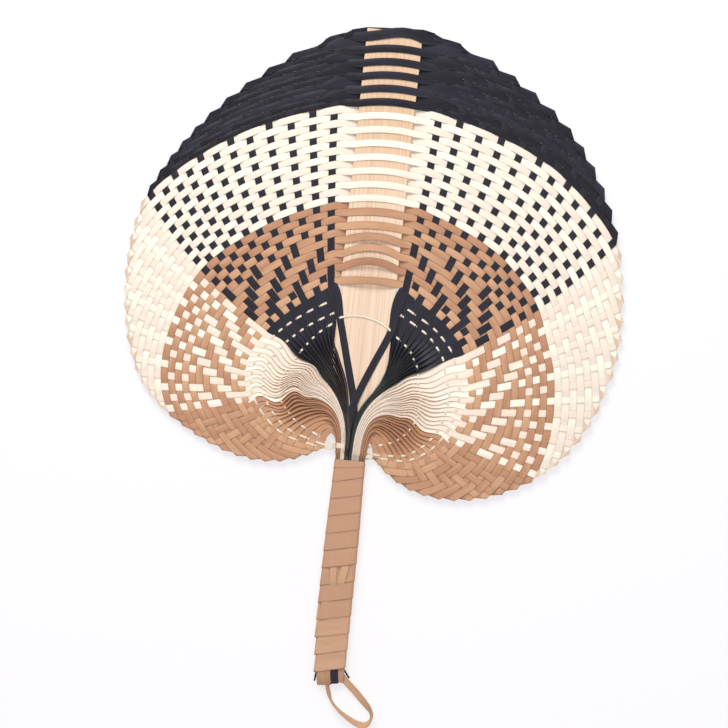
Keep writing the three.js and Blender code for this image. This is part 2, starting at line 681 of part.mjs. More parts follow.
add('grip_core_left', gripCore(-1), leafMaterial(0xc39770, 0.6));
add('grip_core_right', gripCore(1), leafMaterial(0xc39770, 0.6));
add('black_end', stripEnd(BLACK_END), leafMaterial(0x2b2a31, 0.5));
add('tan_end', stripEnd(TAN_END), leafMaterial(0xc39770, 0.55));
const rootStrip = flatBend(ROOT_ROUTE, ROOT_STEPS, LOOP_WIDTH, LOOP_THICKNESS);
const root = add('loop_root', rootStrip, leafMaterial(0xbb8c66, 0.55));
const loop = add('hanging_loop', hangingLoop(), leafMaterial(0xbb8c66, 0.55));
const bend = -GRIP_LENGTH - LOOP_GAP;
root.position.set(0, bend, 0);
loop.position.set(0, bend, 0);

// The grip's flat back lies at height zero, with its middle at the origin
fan.position.set(0, GRIP_MIDDLE, BLADE_LEVEL);

export default fan;
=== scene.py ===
"""A hand fan woven from palm leaf strips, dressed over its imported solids.

Sizes are in millimetres in the fan's own frame: the origin is the middle of the grip's mouth at the level of
the blade, +Y runs to the tip of the blade and +Z comes out of the front face. Meshes are written in metres.
"""
import logging
import math
import random
from dataclasses import dataclass
from enum import Enum
from functools import lru_cache

import bpy
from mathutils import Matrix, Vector, noise


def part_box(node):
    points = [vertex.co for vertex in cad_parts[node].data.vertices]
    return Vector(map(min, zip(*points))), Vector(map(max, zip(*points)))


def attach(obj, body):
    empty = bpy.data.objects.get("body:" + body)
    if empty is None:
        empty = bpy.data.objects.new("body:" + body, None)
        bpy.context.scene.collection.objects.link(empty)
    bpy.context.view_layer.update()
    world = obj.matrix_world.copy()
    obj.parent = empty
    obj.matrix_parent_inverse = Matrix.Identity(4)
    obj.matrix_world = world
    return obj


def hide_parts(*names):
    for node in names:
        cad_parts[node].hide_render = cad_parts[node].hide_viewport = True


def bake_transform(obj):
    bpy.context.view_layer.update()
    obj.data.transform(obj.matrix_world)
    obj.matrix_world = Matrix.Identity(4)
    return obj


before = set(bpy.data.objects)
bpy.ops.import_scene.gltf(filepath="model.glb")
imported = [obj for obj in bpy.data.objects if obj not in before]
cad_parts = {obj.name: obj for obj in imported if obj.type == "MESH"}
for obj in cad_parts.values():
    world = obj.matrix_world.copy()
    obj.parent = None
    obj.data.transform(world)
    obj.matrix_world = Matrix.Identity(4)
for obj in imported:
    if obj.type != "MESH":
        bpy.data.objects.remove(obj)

LOG = logging.getLogger("palm_leaf_fan")
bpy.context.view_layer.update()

MM = 0.001
UP = Vector((0.0, 0.0, 1.0))
FAN_BODY = "fan"

BLACK_STRIPS = 12
NATURAL_STRIPS = 14
BROWN_STRIPS = 12
STRIPS = BLACK_STRIPS + NATURAL_STRIPS + BROWN_STRIPS
LAST = STRIPS - 1
TWILL_WEFTS = 6
WEAVE_SEED = 11
LOFT_SHARP = math.radians(40)


def fan_origin() -> Vector:
    """Place of the fan's own origin in the row frame, in metres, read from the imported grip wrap."""
    low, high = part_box("grip_wrap")
    return Vector((0.0, high.y, (low.z + high.z) / 2))


ORIGIN = fan_origin()


def place(x: float, y: float, z: float = 0.0) -> Vector:
    """Point of the fan's own frame, in millimetres."""
    return Vector((x, y, z))


def to_row(point: Vector) -> Vector:
    """Turns a point of the fan's frame in millimetres into the row frame in metres."""
    return ORIGIN + point * MM


def mix(a: float, b: float, share: float) -> float:
    """Value at a share of the way from a to b."""
    return a + (b - a) * share


def ease(low: float, high: float, value: float) -> float:
    """Smooth step from 0 at low to 1 at high."""
    share = min(max((value - low) / (high - low), 0.0), 1.0)
    return share * share * (3 - 2 * share)


def spline(a: Vector, b: Vector, c: Vector, d: Vector, share: float) -> Vector:
    """Point of a smooth curve at a share of the way from b to c, with a before them and d after."""
    bend = 2 * a - 5 * b + 4 * c - d
    twist = 3 * b - a - 3 * c + d
    return 0.5 * (2 * b + (c - a) * share + bend * share**2 + twist * share**3)


def spline_way(a: Vector, b: Vector, c: Vector, d: Vector, share: float) -> Vector:
    """Unit direction of the same curve at that share."""
    bend = 2 * a - 5 * b + 4 * c - d
    twist = 3 * b - a - 3 * c + d
    return ((c - a) + 2 * bend * share + 3 * twist * share**2).normalized()


def tint_of(red: int, green: int, blue: int) -> tuple[float, float, float, float]:
    """Shader colour of a screen colour.

    Args:
        red: Red from 0 to 255.
        green: Green from 0 to 255.
        blue: Blue from 0 to 255.

    Returns:
        The linear colour with full opacity.
    """
    def linear(value: int) -> float:
        """Linear value of one screen value."""
        share = value / 255
        return share / 12.92 if share <= 0.04045 else ((share + 0.055) / 1.055) ** 2.4
    return linear(red), linear(green), linear(blue), 1.0


def link_new(name: str, data: bpy.types.ID) -> bpy.types.Object:
    """Makes an object from its data and puts it in the scene."""
    made = bpy.data.objects.new(name, data)
    bpy.context.scene.collection.objects.link(made)
    return made


def make_piece(name: str, points: list[Vector], faces: list[tuple[int, ...]], sharp: float,
               material: bpy.types.Material) -> bpy.types.Object:
    """Makes a smooth mesh with sharp creases.

    Args:
        name: Name of the piece.
        points: Its points in the fan's frame.
        faces: Its faces, as numbers of points.
        sharp: Edges that turn more than this stay sharp.
        material: Its material.

    Returns:
        The new object, in the row frame.
    """
    mesh = bpy.data.meshes.new(name)
    mesh.from_pydata([to_row(point) for point in points], [], faces)
    mesh.polygons.foreach_set("use_smooth", [True] * len(mesh.polygons))
    mesh.set_sharp_from_angle(angle=sharp)
    mesh.materials.append(material)
    return link_new(name, mesh)


def carry(piece: bpy.types.Object) -> bpy.types.Object:
    """Fixes a piece to the fan.

    Args:
        piece: The piece.

    Returns:
        The same piece.
    """
    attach(piece, FAN_BODY)
    return piece


def dress(piece: bpy.types.Object, slot: str, *nodes: str) -> bpy.types.Object:
    """Fixes a piece to the fan in place of its solids.

    Args:
        piece: The piece.
        slot: Its material slot; not used.
        nodes: Solids that it stands for.

    Returns:
        The same piece.
    """
    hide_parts(*nodes)
    return carry(piece)


def background_rays(tree: bpy.types.NodeTree) -> bpy.types.NodeSocket:
    """Adds nodes that give 1 to a ray from the camera, a gloss or a clear body, and 0 to the rest.

    Args:
        tree: Node tree of a material or a world.

    Returns:
        The socket with that value.
    """
    seen = tree.nodes.new("ShaderNodeLightPath")
    last = seen.outputs["Is Camera Ray"]
    for ray in ("Is Glossy Ray", "Is Transmission Ray"):
        either = tree.nodes.new("ShaderNodeMath")
        either.operation = "MAXIMUM"
        tree.links.new(last, either.inputs[0])
        tree.links.new(seen.outputs[ray], either.inputs[1])
        last = either.outputs[0]
    return last


def mix_shaders(tree: bpy.types.NodeTree, share: bpy.types.NodeSocket, first: bpy.types.NodeSocket,
                second: bpy.types.NodeSocket) -> bpy.types.NodeSocket:
    """Adds a mix of two shaders.

    Args:
        tree: Node tree of a material or a world.
        share: Share of the second shader.
        first: First shader.
        second: Second shader.

    Returns:
        The mixed shader's socket.
    """
    both = tree.nodes.new("ShaderNodeMixShader")
    for source, target in zip((share, first, second), both.inputs):
        tree.links.new(source, target)
    return both.outputs[0]


class LeafColour(Enum):
    """Colours of the leaf strips, from the rim of the blade inwards."""

    BLACK = "black"
    NATURAL = "natural"
    BROWN = "brown"

    @property
    def slot(self) -> str:
        """Material slot of the record."""
        return f"{self.value}_leaf"

    @property
    def first(self) -> int:
        """Index of the first strip of this colour."""
        starts = {
            LeafColour.BLACK: 0,
            LeafColour.NATURAL: BLACK_STRIPS,
            LeafColour.BROWN: BLACK_STRIPS + NATURAL_STRIPS,
        }
        return starts[self]

    @property
    def count(self) -> int:
        """Number of strips of this colour."""
        counts = {
            LeafColour.BLACK: BLACK_STRIPS,
            LeafColour.NATURAL: NATURAL_STRIPS,
            LeafColour.BROWN: BROWN_STRIPS,
        }
        return counts[self]


def colour_index(strip: int) -> int:
    """Number of a strip's colour, counted from the rim inwards."""
    return (strip >= LeafColour.NATURAL.first) + (strip >= LeafColour.BROWN.first)


class Face(Enum):
    """Which way a surface looks across the fan."""

    FRONT = 1
    BACK = -1


class NodeBoard:
    """Short ways to lay out the nodes of one material."""

    def __init__(self, name: str) -> None:
        """Makes an empty node material.

        Args:
            name: Name of the material.
        """
        self.material = bpy.data.materials.new(name)
        self.material.use_nodes = True
        self.tree = self.material.node_tree
        self.tree.nodes.clear()
        self.out = self.add("ShaderNodeOutputMaterial")

    def add(self, kind: str, **settings: object) -> bpy.types.Node:
        """Adds a node and sets its properties.

        Args:
            kind: Node type.
            settings: Properties of the node.

        Returns:
            The new node.
        """
        node = self.tree.nodes.new(kind)
        for key, value in settings.items():
            setattr(node, key, value)
        return node

    def link(self, source: bpy.types.NodeSocket, target: bpy.types.NodeSocket) -> None:
        """Joins two sockets."""
        self.tree.links.new(source, target)

    def math(self, operation: str, first: object, second: object = 0.5) -> bpy.types.NodeSocket:
        """Adds a sum of two values, each a socket or a number.

        Args:
            operation: Name of the operation.
            first: First value.
            second: Second value.

        Returns:
            The result's socket.
        """
        node = self.add("ShaderNodeMath", operation=operation)
        for socket, value in zip(node.inputs, (first, second)):
            if isinstance(value, (int, float)):
                socket.default_value = value
            else:
                self.link(value, socket)
        return node.outputs[0]

    def spread(self, value: bpy.types.NodeSocket, low: float, high: float, to_low: float,
               to_high: float) -> bpy.types.NodeSocket:
        """Maps a range of values to another.

        Args:
            value: Socket with the value.
            low: Value that gives to_low.
            high: Value that gives to_high.
            to_low: Result at low.
            to_high: Result at high.

        Returns:
            The result's socket.
        """
        node = self.add("ShaderNodeMapRange")
        self.link(value, node.inputs["Value"])
        for key, number in (("From Min", low), ("From Max", high), ("To Min", to_low), ("To Max", to_high)):
            node.inputs[key].default_value = number
        return node.outputs["Result"]

    def blend(self, share: object, first: object, second: object, how: str = "MIX") -> bpy.types.NodeSocket:
        """Mixes two colours, each a socket or a colour.

        Args:
            share: Share of the second colour, a socket or a number.
            first: First colour.
            second: Second colour.
            how: Way to mix.

        Returns:
            The mixed colour's socket.
        """
        node = self.add("ShaderNodeMix", data_type="RGBA", blend_type=how)
        for socket, value in ((node.inputs[0], share), (node.inputs[6], first), (node.inputs[7], second)):
            if isinstance(value, (tuple, int, float)):
                socket.default_value = value
            else:
                self.link(value, socket)
        return node.outputs[2]

    def streaks(self, source: bpy.types.NodeSocket, along: float, across: float, detail: float = 3.0,
                third: float = 1.0) -> bpy.types.NodeSocket:
        """Noise drawn out along a strip.

        Args:
            source: Coordinates, with the run of the strip in X and its width in Y.
            along: Waves in a unit of the run.
            across: Waves in a unit of the width.
            detail: Octaves of the noise.
            third: Waves in a unit of the third coordinate.

        Returns:
            The noise's value.
        """
        scale = self.add("ShaderNodeMapping")
        scale.inputs["Scale"].default_value = (along, across, third)
        self.link(source, scale.inputs["Vector"])
        waves = self.add("ShaderNodeTexNoise")
        waves.inputs["Scale"].default_value = 1.0
        waves.inputs["Detail"].default_value = detail
        self.link(scale.outputs["Vector"], waves.inputs["Vector"])
        return waves.outputs["Fac"]

    def bump(self, height: bpy.types.NodeSocket, strength: float, distance: float) -> bpy.types.NodeSocket:
        """Normal from a height.

        Args:
            height: Height from 0 to 1.
            strength: Strength of the bump.
            distance: Height of the bump in metres.

        Returns:
            The normal's socket.
        """
        node = self.add("ShaderNodeBump")
        node.inputs["Strength"].default_value = strength
        node.inputs["Distance"].default_value = distance
        self.link(height, node.inputs["Height"])
        return node.outputs["Normal"]

    def surface(self, colour: bpy.types.NodeSocket, roughness: bpy.types.NodeSocket,
                normal: bpy.types.NodeSocket, gloss: float = 0.35) -> bpy.types.Material:
        """Closes the material with a plain shader.

        Args:
            colour: Base colour.
            roughness: Roughness.
            normal: Normal.
            gloss: Strength of the reflections.

        Returns:
            The finished material.
        """
        shader = self.add("ShaderNodeBsdfPrincipled")
        self.link(colour, shader.inputs["Base Color"])
        self.link(roughness, shader.inputs["Roughness"])
        self.link(normal, shader.inputs["Normal"])
        shader.inputs["Specular IOR Level"].default_value = gloss
        self.link(shader.outputs["BSDF"], self.out.inputs["Surface"])
        return self.material


@dataclass(frozen=True)
class LeafFinish:
    """Finish of a split palm leaf: fibres along the strip, two unlike faces, cut edges and painted shade at
    the edges.

    Attributes:
        name: Name of the material.
        front: Colour of the smooth face.
        back: Colour of the dull face.
        second: Colour that some strips lean to.
        edge: Colour of the cut edges; on the natural, brown and wrap finishes it also paints the shadow lines
            between strips.
        edge_share: How much of that colour shows along the edges.
        streak: How much darker the fibres are than the leaf between them.
        rough: Roughness of the leaf.
        painted_edge_shade: How much darker the strip is painted along its edges and folds, as painted shade.
        gloss: Strength of its reflections.
        right_edge: Colour of the cut edges on the right half, where it differs.
    """

    name: str
    front: tuple[float, float, float, float]
    back: tuple[float, float, float, float]
    second: tuple[float, float, float, float]
    edge: tuple[float, float, float, float]
    edge_share: float
    streak: float
    rough: float
    painted_edge_shade: float
    gloss: float = 0.35
    right_edge: tuple[float, float, float, float] | None = None

    # Waves of each grain along and across the strip, in a millimetre, and its octaves.
    FIBRES = (0.11, 6.0, 3.0)
    FINE = (0.3, 19.0, 2.0)
    BLOTCH = (0.035, 0.22, 2.0)
    # Values of a grain between which it takes effect.
    BLOTCH_RANGE = (0.3, 0.7)
    SECOND_RANGE = (0.35, 0.85)
    FIBRE_RANGE = (0.35, 0.7)
    FINE_RANGE = (0.35, 0.65)
    EDGE_BREAKS = (0.42, 0.56)
    ROUGH_RANGE = (0.3, 0.7)
    # How far each takes effect.
    BLOTCH_LEAN = 0.3
    FIBRE_SHINE = 0.3
    FINE_SHARE = 0.5
    LEAST_EDGE = 0.15
    SMOOTHER = 0.07
    ROUGHER = 0.09
    FINE_HEIGHT = 0.4
    BUMP = 0.35
    BUMP_HEIGHT = 0.00012
    # Share of the half width from which the painted shade darkens the strip, and from which its cut-edge
    # colour shows.
    PAINTED_SHADE_FROM = 0.78
    EDGE_FROM = 0.88
    # Where the left half's edges turn into the right half's, in metres of the row frame.
    HALVES = (-0.004, 0.0)

    def edge_colour(self, board: NodeBoard) -> object:
        """Colour of the cut edges, which may differ between the halves."""
        if self.right_edge is None:
            return self.edge
        parts = board.add("ShaderNodeSeparateXYZ")
        board.link(board.add("ShaderNodeTexCoord").outputs["Object"], parts.inputs[0])
        right = board.spread(parts.outputs[0], *self.HALVES, 0.0, 1.0)
        return board.blend(right, self.edge, self.right_edge)

    @lru_cache(maxsize=None)
    def material(self) -> bpy.types.Material:
        """Builds the material once.

        Returns:
            The finished material.
        """
        board = NodeBoard(self.name)
        run = board.add("ShaderNodeUVMap", uv_map="run").outputs["UV"]
        parts = board.add("ShaderNodeSeparateXYZ")
        leaf = board.add("ShaderNodeAttribute", attribute_name="leaf")
        board.link(leaf.outputs["Vector"], parts.inputs[0])
        side, tone, edge = parts.outputs[0], parts.outputs[1], parts.outputs[2]
        fibres = board.streaks(run, *self.FIBRES)
        fine = board.streaks(run, *self.FINE)
        blotch = board.streaks(run, *self.BLOTCH)
        colour = board.blend(side, self.back, self.front)
        uneven = board.spread(blotch, *self.BLOTCH_RANGE, -self.BLOTCH_LEAN, self.BLOTCH_LEAN)
        lean = board.spread(board.math("ADD", tone, uneven), *self.SECOND_RANGE, 0.0, 1.0)
        colour = board.blend(lean, colour, self.second)
        bright = 1.0 + self.FIBRE_SHINE * self.streak
        dark = board.spread(fibres, *self.FIBRE_RANGE, 1.0 - self.streak, bright)
        thin = board.spread(fine, *self.FINE_RANGE, 1.0 - self.FINE_SHARE * self.streak, 1.0)
        dark = board.math("MULTIPLY", dark, thin)
        # Painted shade: the strip is darkened towards its edges, where shade falls between strips.
        dark = board.math("MULTIPLY", dark, board.spread(edge, self.PAINTED_SHADE_FROM, 1.0, 1.0, 1.0 - self.painted_edge_shade))
        grey = board.add("ShaderNodeCombineColor")
        for channel in grey.inputs:
            board.link(dark, channel)
        colour = board.blend(1.0, colour, grey.outputs[0], "MULTIPLY")
        # Cut-edge colour; on the natural, brown and wrap finishes it also paints the shadow line between
        # strips.
        rim = board.math("MULTIPLY", board.spread(edge, self.EDGE_FROM, 1.0, 0.0, self.edge_share),
                         board.spread(blotch, *self.EDGE_BREAKS, self.LEAST_EDGE, 1.0))
        colour = board.blend(rim, colour, self.edge_colour(board))
        least = self.rough - self.SMOOTHER
        roughness = board.spread(fibres, *self.ROUGH_RANGE, least, self.rough + self.ROUGHER)
        height = board.math("ADD", fibres, board.math("MULTIPLY", fine, self.FINE_HEIGHT))
        return board.surface(colour, roughness, board.bump(height, self.BUMP, self.BUMP_HEIGHT), self.gloss)


@dataclass(frozen=True)
class BambooFinish:
    """Finish of the planed slat: straight grain with fine dark vessels.

    Attributes:
        name: Name of the material.
        pale: Colour between the vessels.
        dark: Colour of the vessels.
        warm: Colour of the upper part.
        warm_from: Height at which the slat begins to turn warm, in metres of the row frame.
        warm_to: Height from which it is warm.
    """

    name: str
    pale: tuple[float, float, float, float]
    dark: tuple[float, float, float, float]
    warm: tuple[float, float, float, float]
    warm_from: float
    warm_to: float

    # Waves of each grain across and along the slat in a metre, its octaves, and waves through the slat.
    GRAIN = (2000.0, 12.0, 3.0, 300.0)
    BROAD = (420.0, 7.0, 2.0, 60.0)
    # Values of a grain between which it takes effect, and how far.
    VESSEL_RANGE = (0.48, 0.66)
    VESSEL_SHARE = 0.6
    BROAD_RANGE = (0.45, 0.7)
    BROAD_SHARE = 0.3
    ROUGH_RANGE = (0.3, 0.7)
    ROUGH = (0.5, 0.66)
    BUMP = 0.3
    BUMP_HEIGHT = 0.0001

    @lru_cache(maxsize=None)
    def material(self) -> bpy.types.Material:
        """Builds the material once.

        Returns:
            The finished material.
        """
        board = NodeBoard(self.name)
        where = board.add("ShaderNodeTexCoord").outputs["Object"]
        parts = board.add("ShaderNodeSeparateXYZ")
        board.link(where, parts.inputs[0])
        grain = board.streaks(where, *self.GRAIN)
        broad = board.streaks(where, *self.BROAD)
        height = board.spread(parts.outputs[1], self.warm_from, self.warm_to, 0.0, 1.0)
        colour = board.blend(height, self.pale, self.warm)
        vessels = board.spread(grain, *self.VESSEL_RANGE, 0.0, self.VESSEL_SHARE)
        colour = board.blend(vessels, colour, self.dark)
        colour = board.blend(board.spread(broad, *self.BROAD_RANGE, 0.0, self.BROAD_SHARE), colour, self.dark)
        roughness = board.spread(grain, *self.ROUGH_RANGE, *self.ROUGH)
        return board.surface(colour, roughness, board.bump(grain, self.BUMP, self.BUMP_HEIGHT))


# Every finish paints shade along its edges; the natural, brown and wrap edge colours also paint the shadow
# lines between strips, while the black finish's pale edges are its undyed cut edges.
BLACK_LEAF = LeafFinish(
    "dyed_black_leaf", front=tint_of(42, 40, 50), back=tint_of(31, 29, 39), second=tint_of(48, 47, 60),
    edge=tint_of(118, 106, 82), edge_share=0.5, streak=0.36, rough=0.4, painted_edge_shade=0.3, gloss=0.16,
    right_edge=tint_of(74, 88, 78),
)
NATURAL_LEAF = LeafFinish(
    "natural_leaf", front=tint_of(252, 232, 214), back=tint_of(253, 236, 220), second=tint_of(254, 252, 234),
    edge=tint_of(208, 164, 132), edge_share=0.64, streak=0.05, rough=0.5, painted_edge_shade=0.17,
)
BROWN_LEAF = LeafFinish(
    "dyed_brown_leaf",
    front=tint_of(200, 147, 112), back=tint_of(198, 145, 111), second=tint_of(219, 169, 131),
    edge=tint_of(104, 66, 48), edge_share=0.65, streak=0.14, rough=0.48, painted_edge_shade=0.34,
)
WRAP_LEAF = LeafFinish(
    "grip_wrap_leaf",
    front=tint_of(199, 152, 122), back=tint_of(191, 145, 112), second=tint_of(210, 166, 133),
    edge=tint_of(112, 74, 54), edge_share=0.6, streak=0.07, rough=0.5, painted_edge_shade=0.06,
)
LOOP_LEAF = LeafFinish(
    "loop_leaf", front=tint_of(222, 180, 142), back=tint_of(210, 166, 130), second=tint_of(216, 172, 134),
    edge=tint_of(150, 104, 74), edge_share=0.3, streak=0.1, rough=0.48, painted_edge_shade=0.08,
)
STRAND_FIBRE = LeafFinish(
    "binding_fibre", front=tint_of(240, 226, 204), back=tint_of(240, 224, 200), second=tint_of(246, 234, 214),
    edge=tint_of(196, 164, 124), edge_share=0.4, streak=0.1, rough=0.55, painted_edge_shade=0.15,
)
BAMBOO = BambooFinish(
    "planed_bamboo", pale=tint_of(243, 218, 193), dark=tint_of(208, 162, 122), warm=tint_of(231, 197, 165),
    warm_from=0.21, warm_to=0.27,
)
STRIP_FINISH = {
    LeafColour.BLACK: BLACK_LEAF,
    LeafColour.NATURAL: NATURAL_LEAF,
    LeafColour.BROWN: BROWN_LEAF,
}


@dataclass
class Station:
    """One cross section of a strip.

    Attributes:
        middle: Middle of the section.
        across: Unit direction from the strip's first edge to its second.
        normal: Unit direction out of the strip's first face.
        reach: Half the width.
        crown: How far the middle stands out along the normal.
        edge_tint_and_shade: How much the whole section takes on the cut-edge colour and the painted edge
            shade.
        extra: Thickness beyond the strip's own.
        clean: How far the edges keep the look of the leaf, without the cut-edge colour and the painted edge
            shade.
        lean: Share of the strip's own shade that it keeps.
    """

    middle: Vector
    across: Vector
    normal: Vector
    reach: float
    crown: float = 0.0
    edge_tint_and_shade: float = 0.0
    extra: float = 0.0
    clean: float = 0.0
    lean: float = 1.0


class Ribbon:
    """A thin strip through a row of stations, as one closed mesh."""

    # Points across a face, as shares of the half width.
    SPOTS = (-1.0, -0.55, 0.0, 0.55, 1.0)
    SHARP = math.radians(48)
    # How far a clean edge moves away from the cut-edge colour and the painted edge shade.
    CLEAN_EDGE = 0.16

    def __init__(self, stations: list[Station], thickness: float, tone: float, start: float = 0.0) -> None:
        """Keeps the strip's run.

        Args:
            stations: Cross sections from one end to the other.
            thickness: Thickness of the strip.
            tone: Shade of this strip among its kind, from 0 to 1.
            start: Where the strip's grain begins, so that no two strips share it.
        """
        self.stations = stations
        self.thickness = thickness
        self.tone = tone
        self.start = start

    def ring(self, station: Station) -> list[Vector]:
        """Points round one cross section: across the first face, then back across the second."""
        half = (self.thickness + station.extra) / 2
        first = []
        second = []
        for spot in self.SPOTS:
            line = station.middle + station.across * (station.reach * spot)
            lift = station.crown * (1 - spot * spot)
            first.append(line + station.normal * (lift + half))
            second.append(line + station.normal * (lift - half))
        return first + second[::-1]

    def build(self, name: str, finish: LeafFinish) -> bpy.types.Object:
        """Makes the mesh object.

        Args:
            name: Name of the piece.
            finish: Its finish.

        Returns:
            The new object, in the row frame.
        """
        spots = len(self.SPOTS)
        around = 2 * spots
        points = [point for station in self.stations for point in self.ring(station)]
        runs = [self.start]
        for before, after in zip(self.stations, self.stations[1:]):
            runs.append(runs[-1] + (after.middle - before.middle).length)
        faces = []
        for k in range(len(self.stations) - 1):
            for a in range(around):
                b = (a + 1) % around
                faces.append((k * around + a, (k + 1) * around + a, (k + 1) * around + b, k * around + b))
        end = (len(self.stations) - 1) * around
        for a in range(spots - 1):
            mirror = around - 1 - a
            faces.append((a, a + 1, mirror - 1, mirror))
            faces.append((end + a, end + mirror, end + mirror - 1, end + a + 1))
        made = make_piece(name, points, faces, self.SHARP, finish.material())
        self.paint(made.data, runs)
        made.data.update()
        return made

    def paint(self, mesh: bpy.types.Mesh, runs: list[float]) -> None:
        """Writes the run, width, face, tone and edge that the material reads; the edge sets the painted edge
        shade.

        Args:
            mesh: Mesh of the strip.
            runs: Length along the strip at each station.
        """
        spots = len(self.SPOTS)
        around = 2 * spots
        layer = mesh.uv_layers.new(name="run")
        leaf = mesh.attributes.new("leaf", "FLOAT_VECTOR", "POINT")
        widths = []
        values = []
        for station in self.stations:
            for a in range(around):
                spot = self.SPOTS[a] if a < spots else self.SPOTS[around - 1 - a]
                widths.append(station.reach * spot)
                # The edge value sets the cut-edge colour and the painted edge shade.
                edge = abs(spot) * (1 - self.CLEAN_EDGE * station.clean)
                values.extend((1.0 if a < spots else 0.0, self.tone * station.lean, max(edge, station.edge_tint_and_shade)))
        leaf.data.foreach_set("vector", values)
        corners = []
        for loop in mesh.loops:
            corners.extend((runs[loop.vertex_index // around], widths[loop.vertex_index]))
        layer.uv.foreach_set("vector", corners)


@dataclass(frozen=True)
class GuideRib:
    """A rib that is listed; the ribs between run smoothly through these.

    Attributes:
        share: Place in the turn of the blade from the slat to the grip.
        out: Distance of the inner weft from the slat's edge.
        up: Height of the inner weft above the mouth.
        heading: Direction of the rib there, in degrees from +Y outwards.
        bend: Degrees that it loses in each millimetre on the way to the rim.
        inner_loose: Air between the brown wefts.
        loose: Air between the natural wefts.
        rim_loose: Air between the black wefts at the rim.
    """

    share: float
    out: float
    up: float
    heading: float
    bend: float
    inner_loose: float
    loose: float
    rim_loose: float


LEFT_GUIDES = (
    GuideRib(0, 5.8, 106.5, 6.5, 0.03, 0.2, 0.18, 0.02),
    GuideRib(0.135, 25.5, 92.3, 38.3, 0.19, 0.36, 0.1, -0.65),
    GuideRib(0.297, 42.6, 75.8, 58.2, 0.21, 0.54, -0.05, -0.9),
    GuideRib(0.459, 53.2, 56.4, 69, 0.02, 0.3, -0.1, 0),
    GuideRib(0.622, 53, 36.2, 94.5, 0, 0.27, 0, 0),
    GuideRib(0.757, 43.2, 21, 117, 0, 0, 0, 0),
    GuideRib(0.892, 25.5, 8.5, 157, 0, -0.2, -0.2, 0),
    GuideRib(1, 2, 4.5, 205, 0, -0.2, -0.2, 0),
)
RIGHT_GUIDES = (
    GuideRib(0, 6, 108, 6.5, 0.03, 0.19, 0.25, 0.1),
    GuideRib(0.135, 28.9, 93.4, 36, 0.17, 0.42, 0.42, 0.25),
    GuideRib(0.216, 37.8, 85.5, 47, 0.17, 0.42, 0.4, 0.5),
    GuideRib(0.297, 46.2, 74.8, 57, 0.16, 0.4, 0.35, 0.6),
    GuideRib(0.378, 50, 60.6, 64.5, 0.08, 0.4, 0.4, 0.55),
    GuideRib(0.459, 52.8, 48.2, 72, 0, 0.42, 0.5, 0.5),
    GuideRib(0.622, 47.4, 25.2, 98.5, 0, 0.7, 0.75, 0.5),
    GuideRib(0.757, 36.2, 9.6, 120, 0, 0.8, 0.8, 0.5),
    GuideRib(0.892, 18.5, 0.2, 153, 0, 0.5, 0.5, 0.5),
    GuideRib(1, -1.5, 1, 195, 0, 0.2, 0.2, 0.5),
)


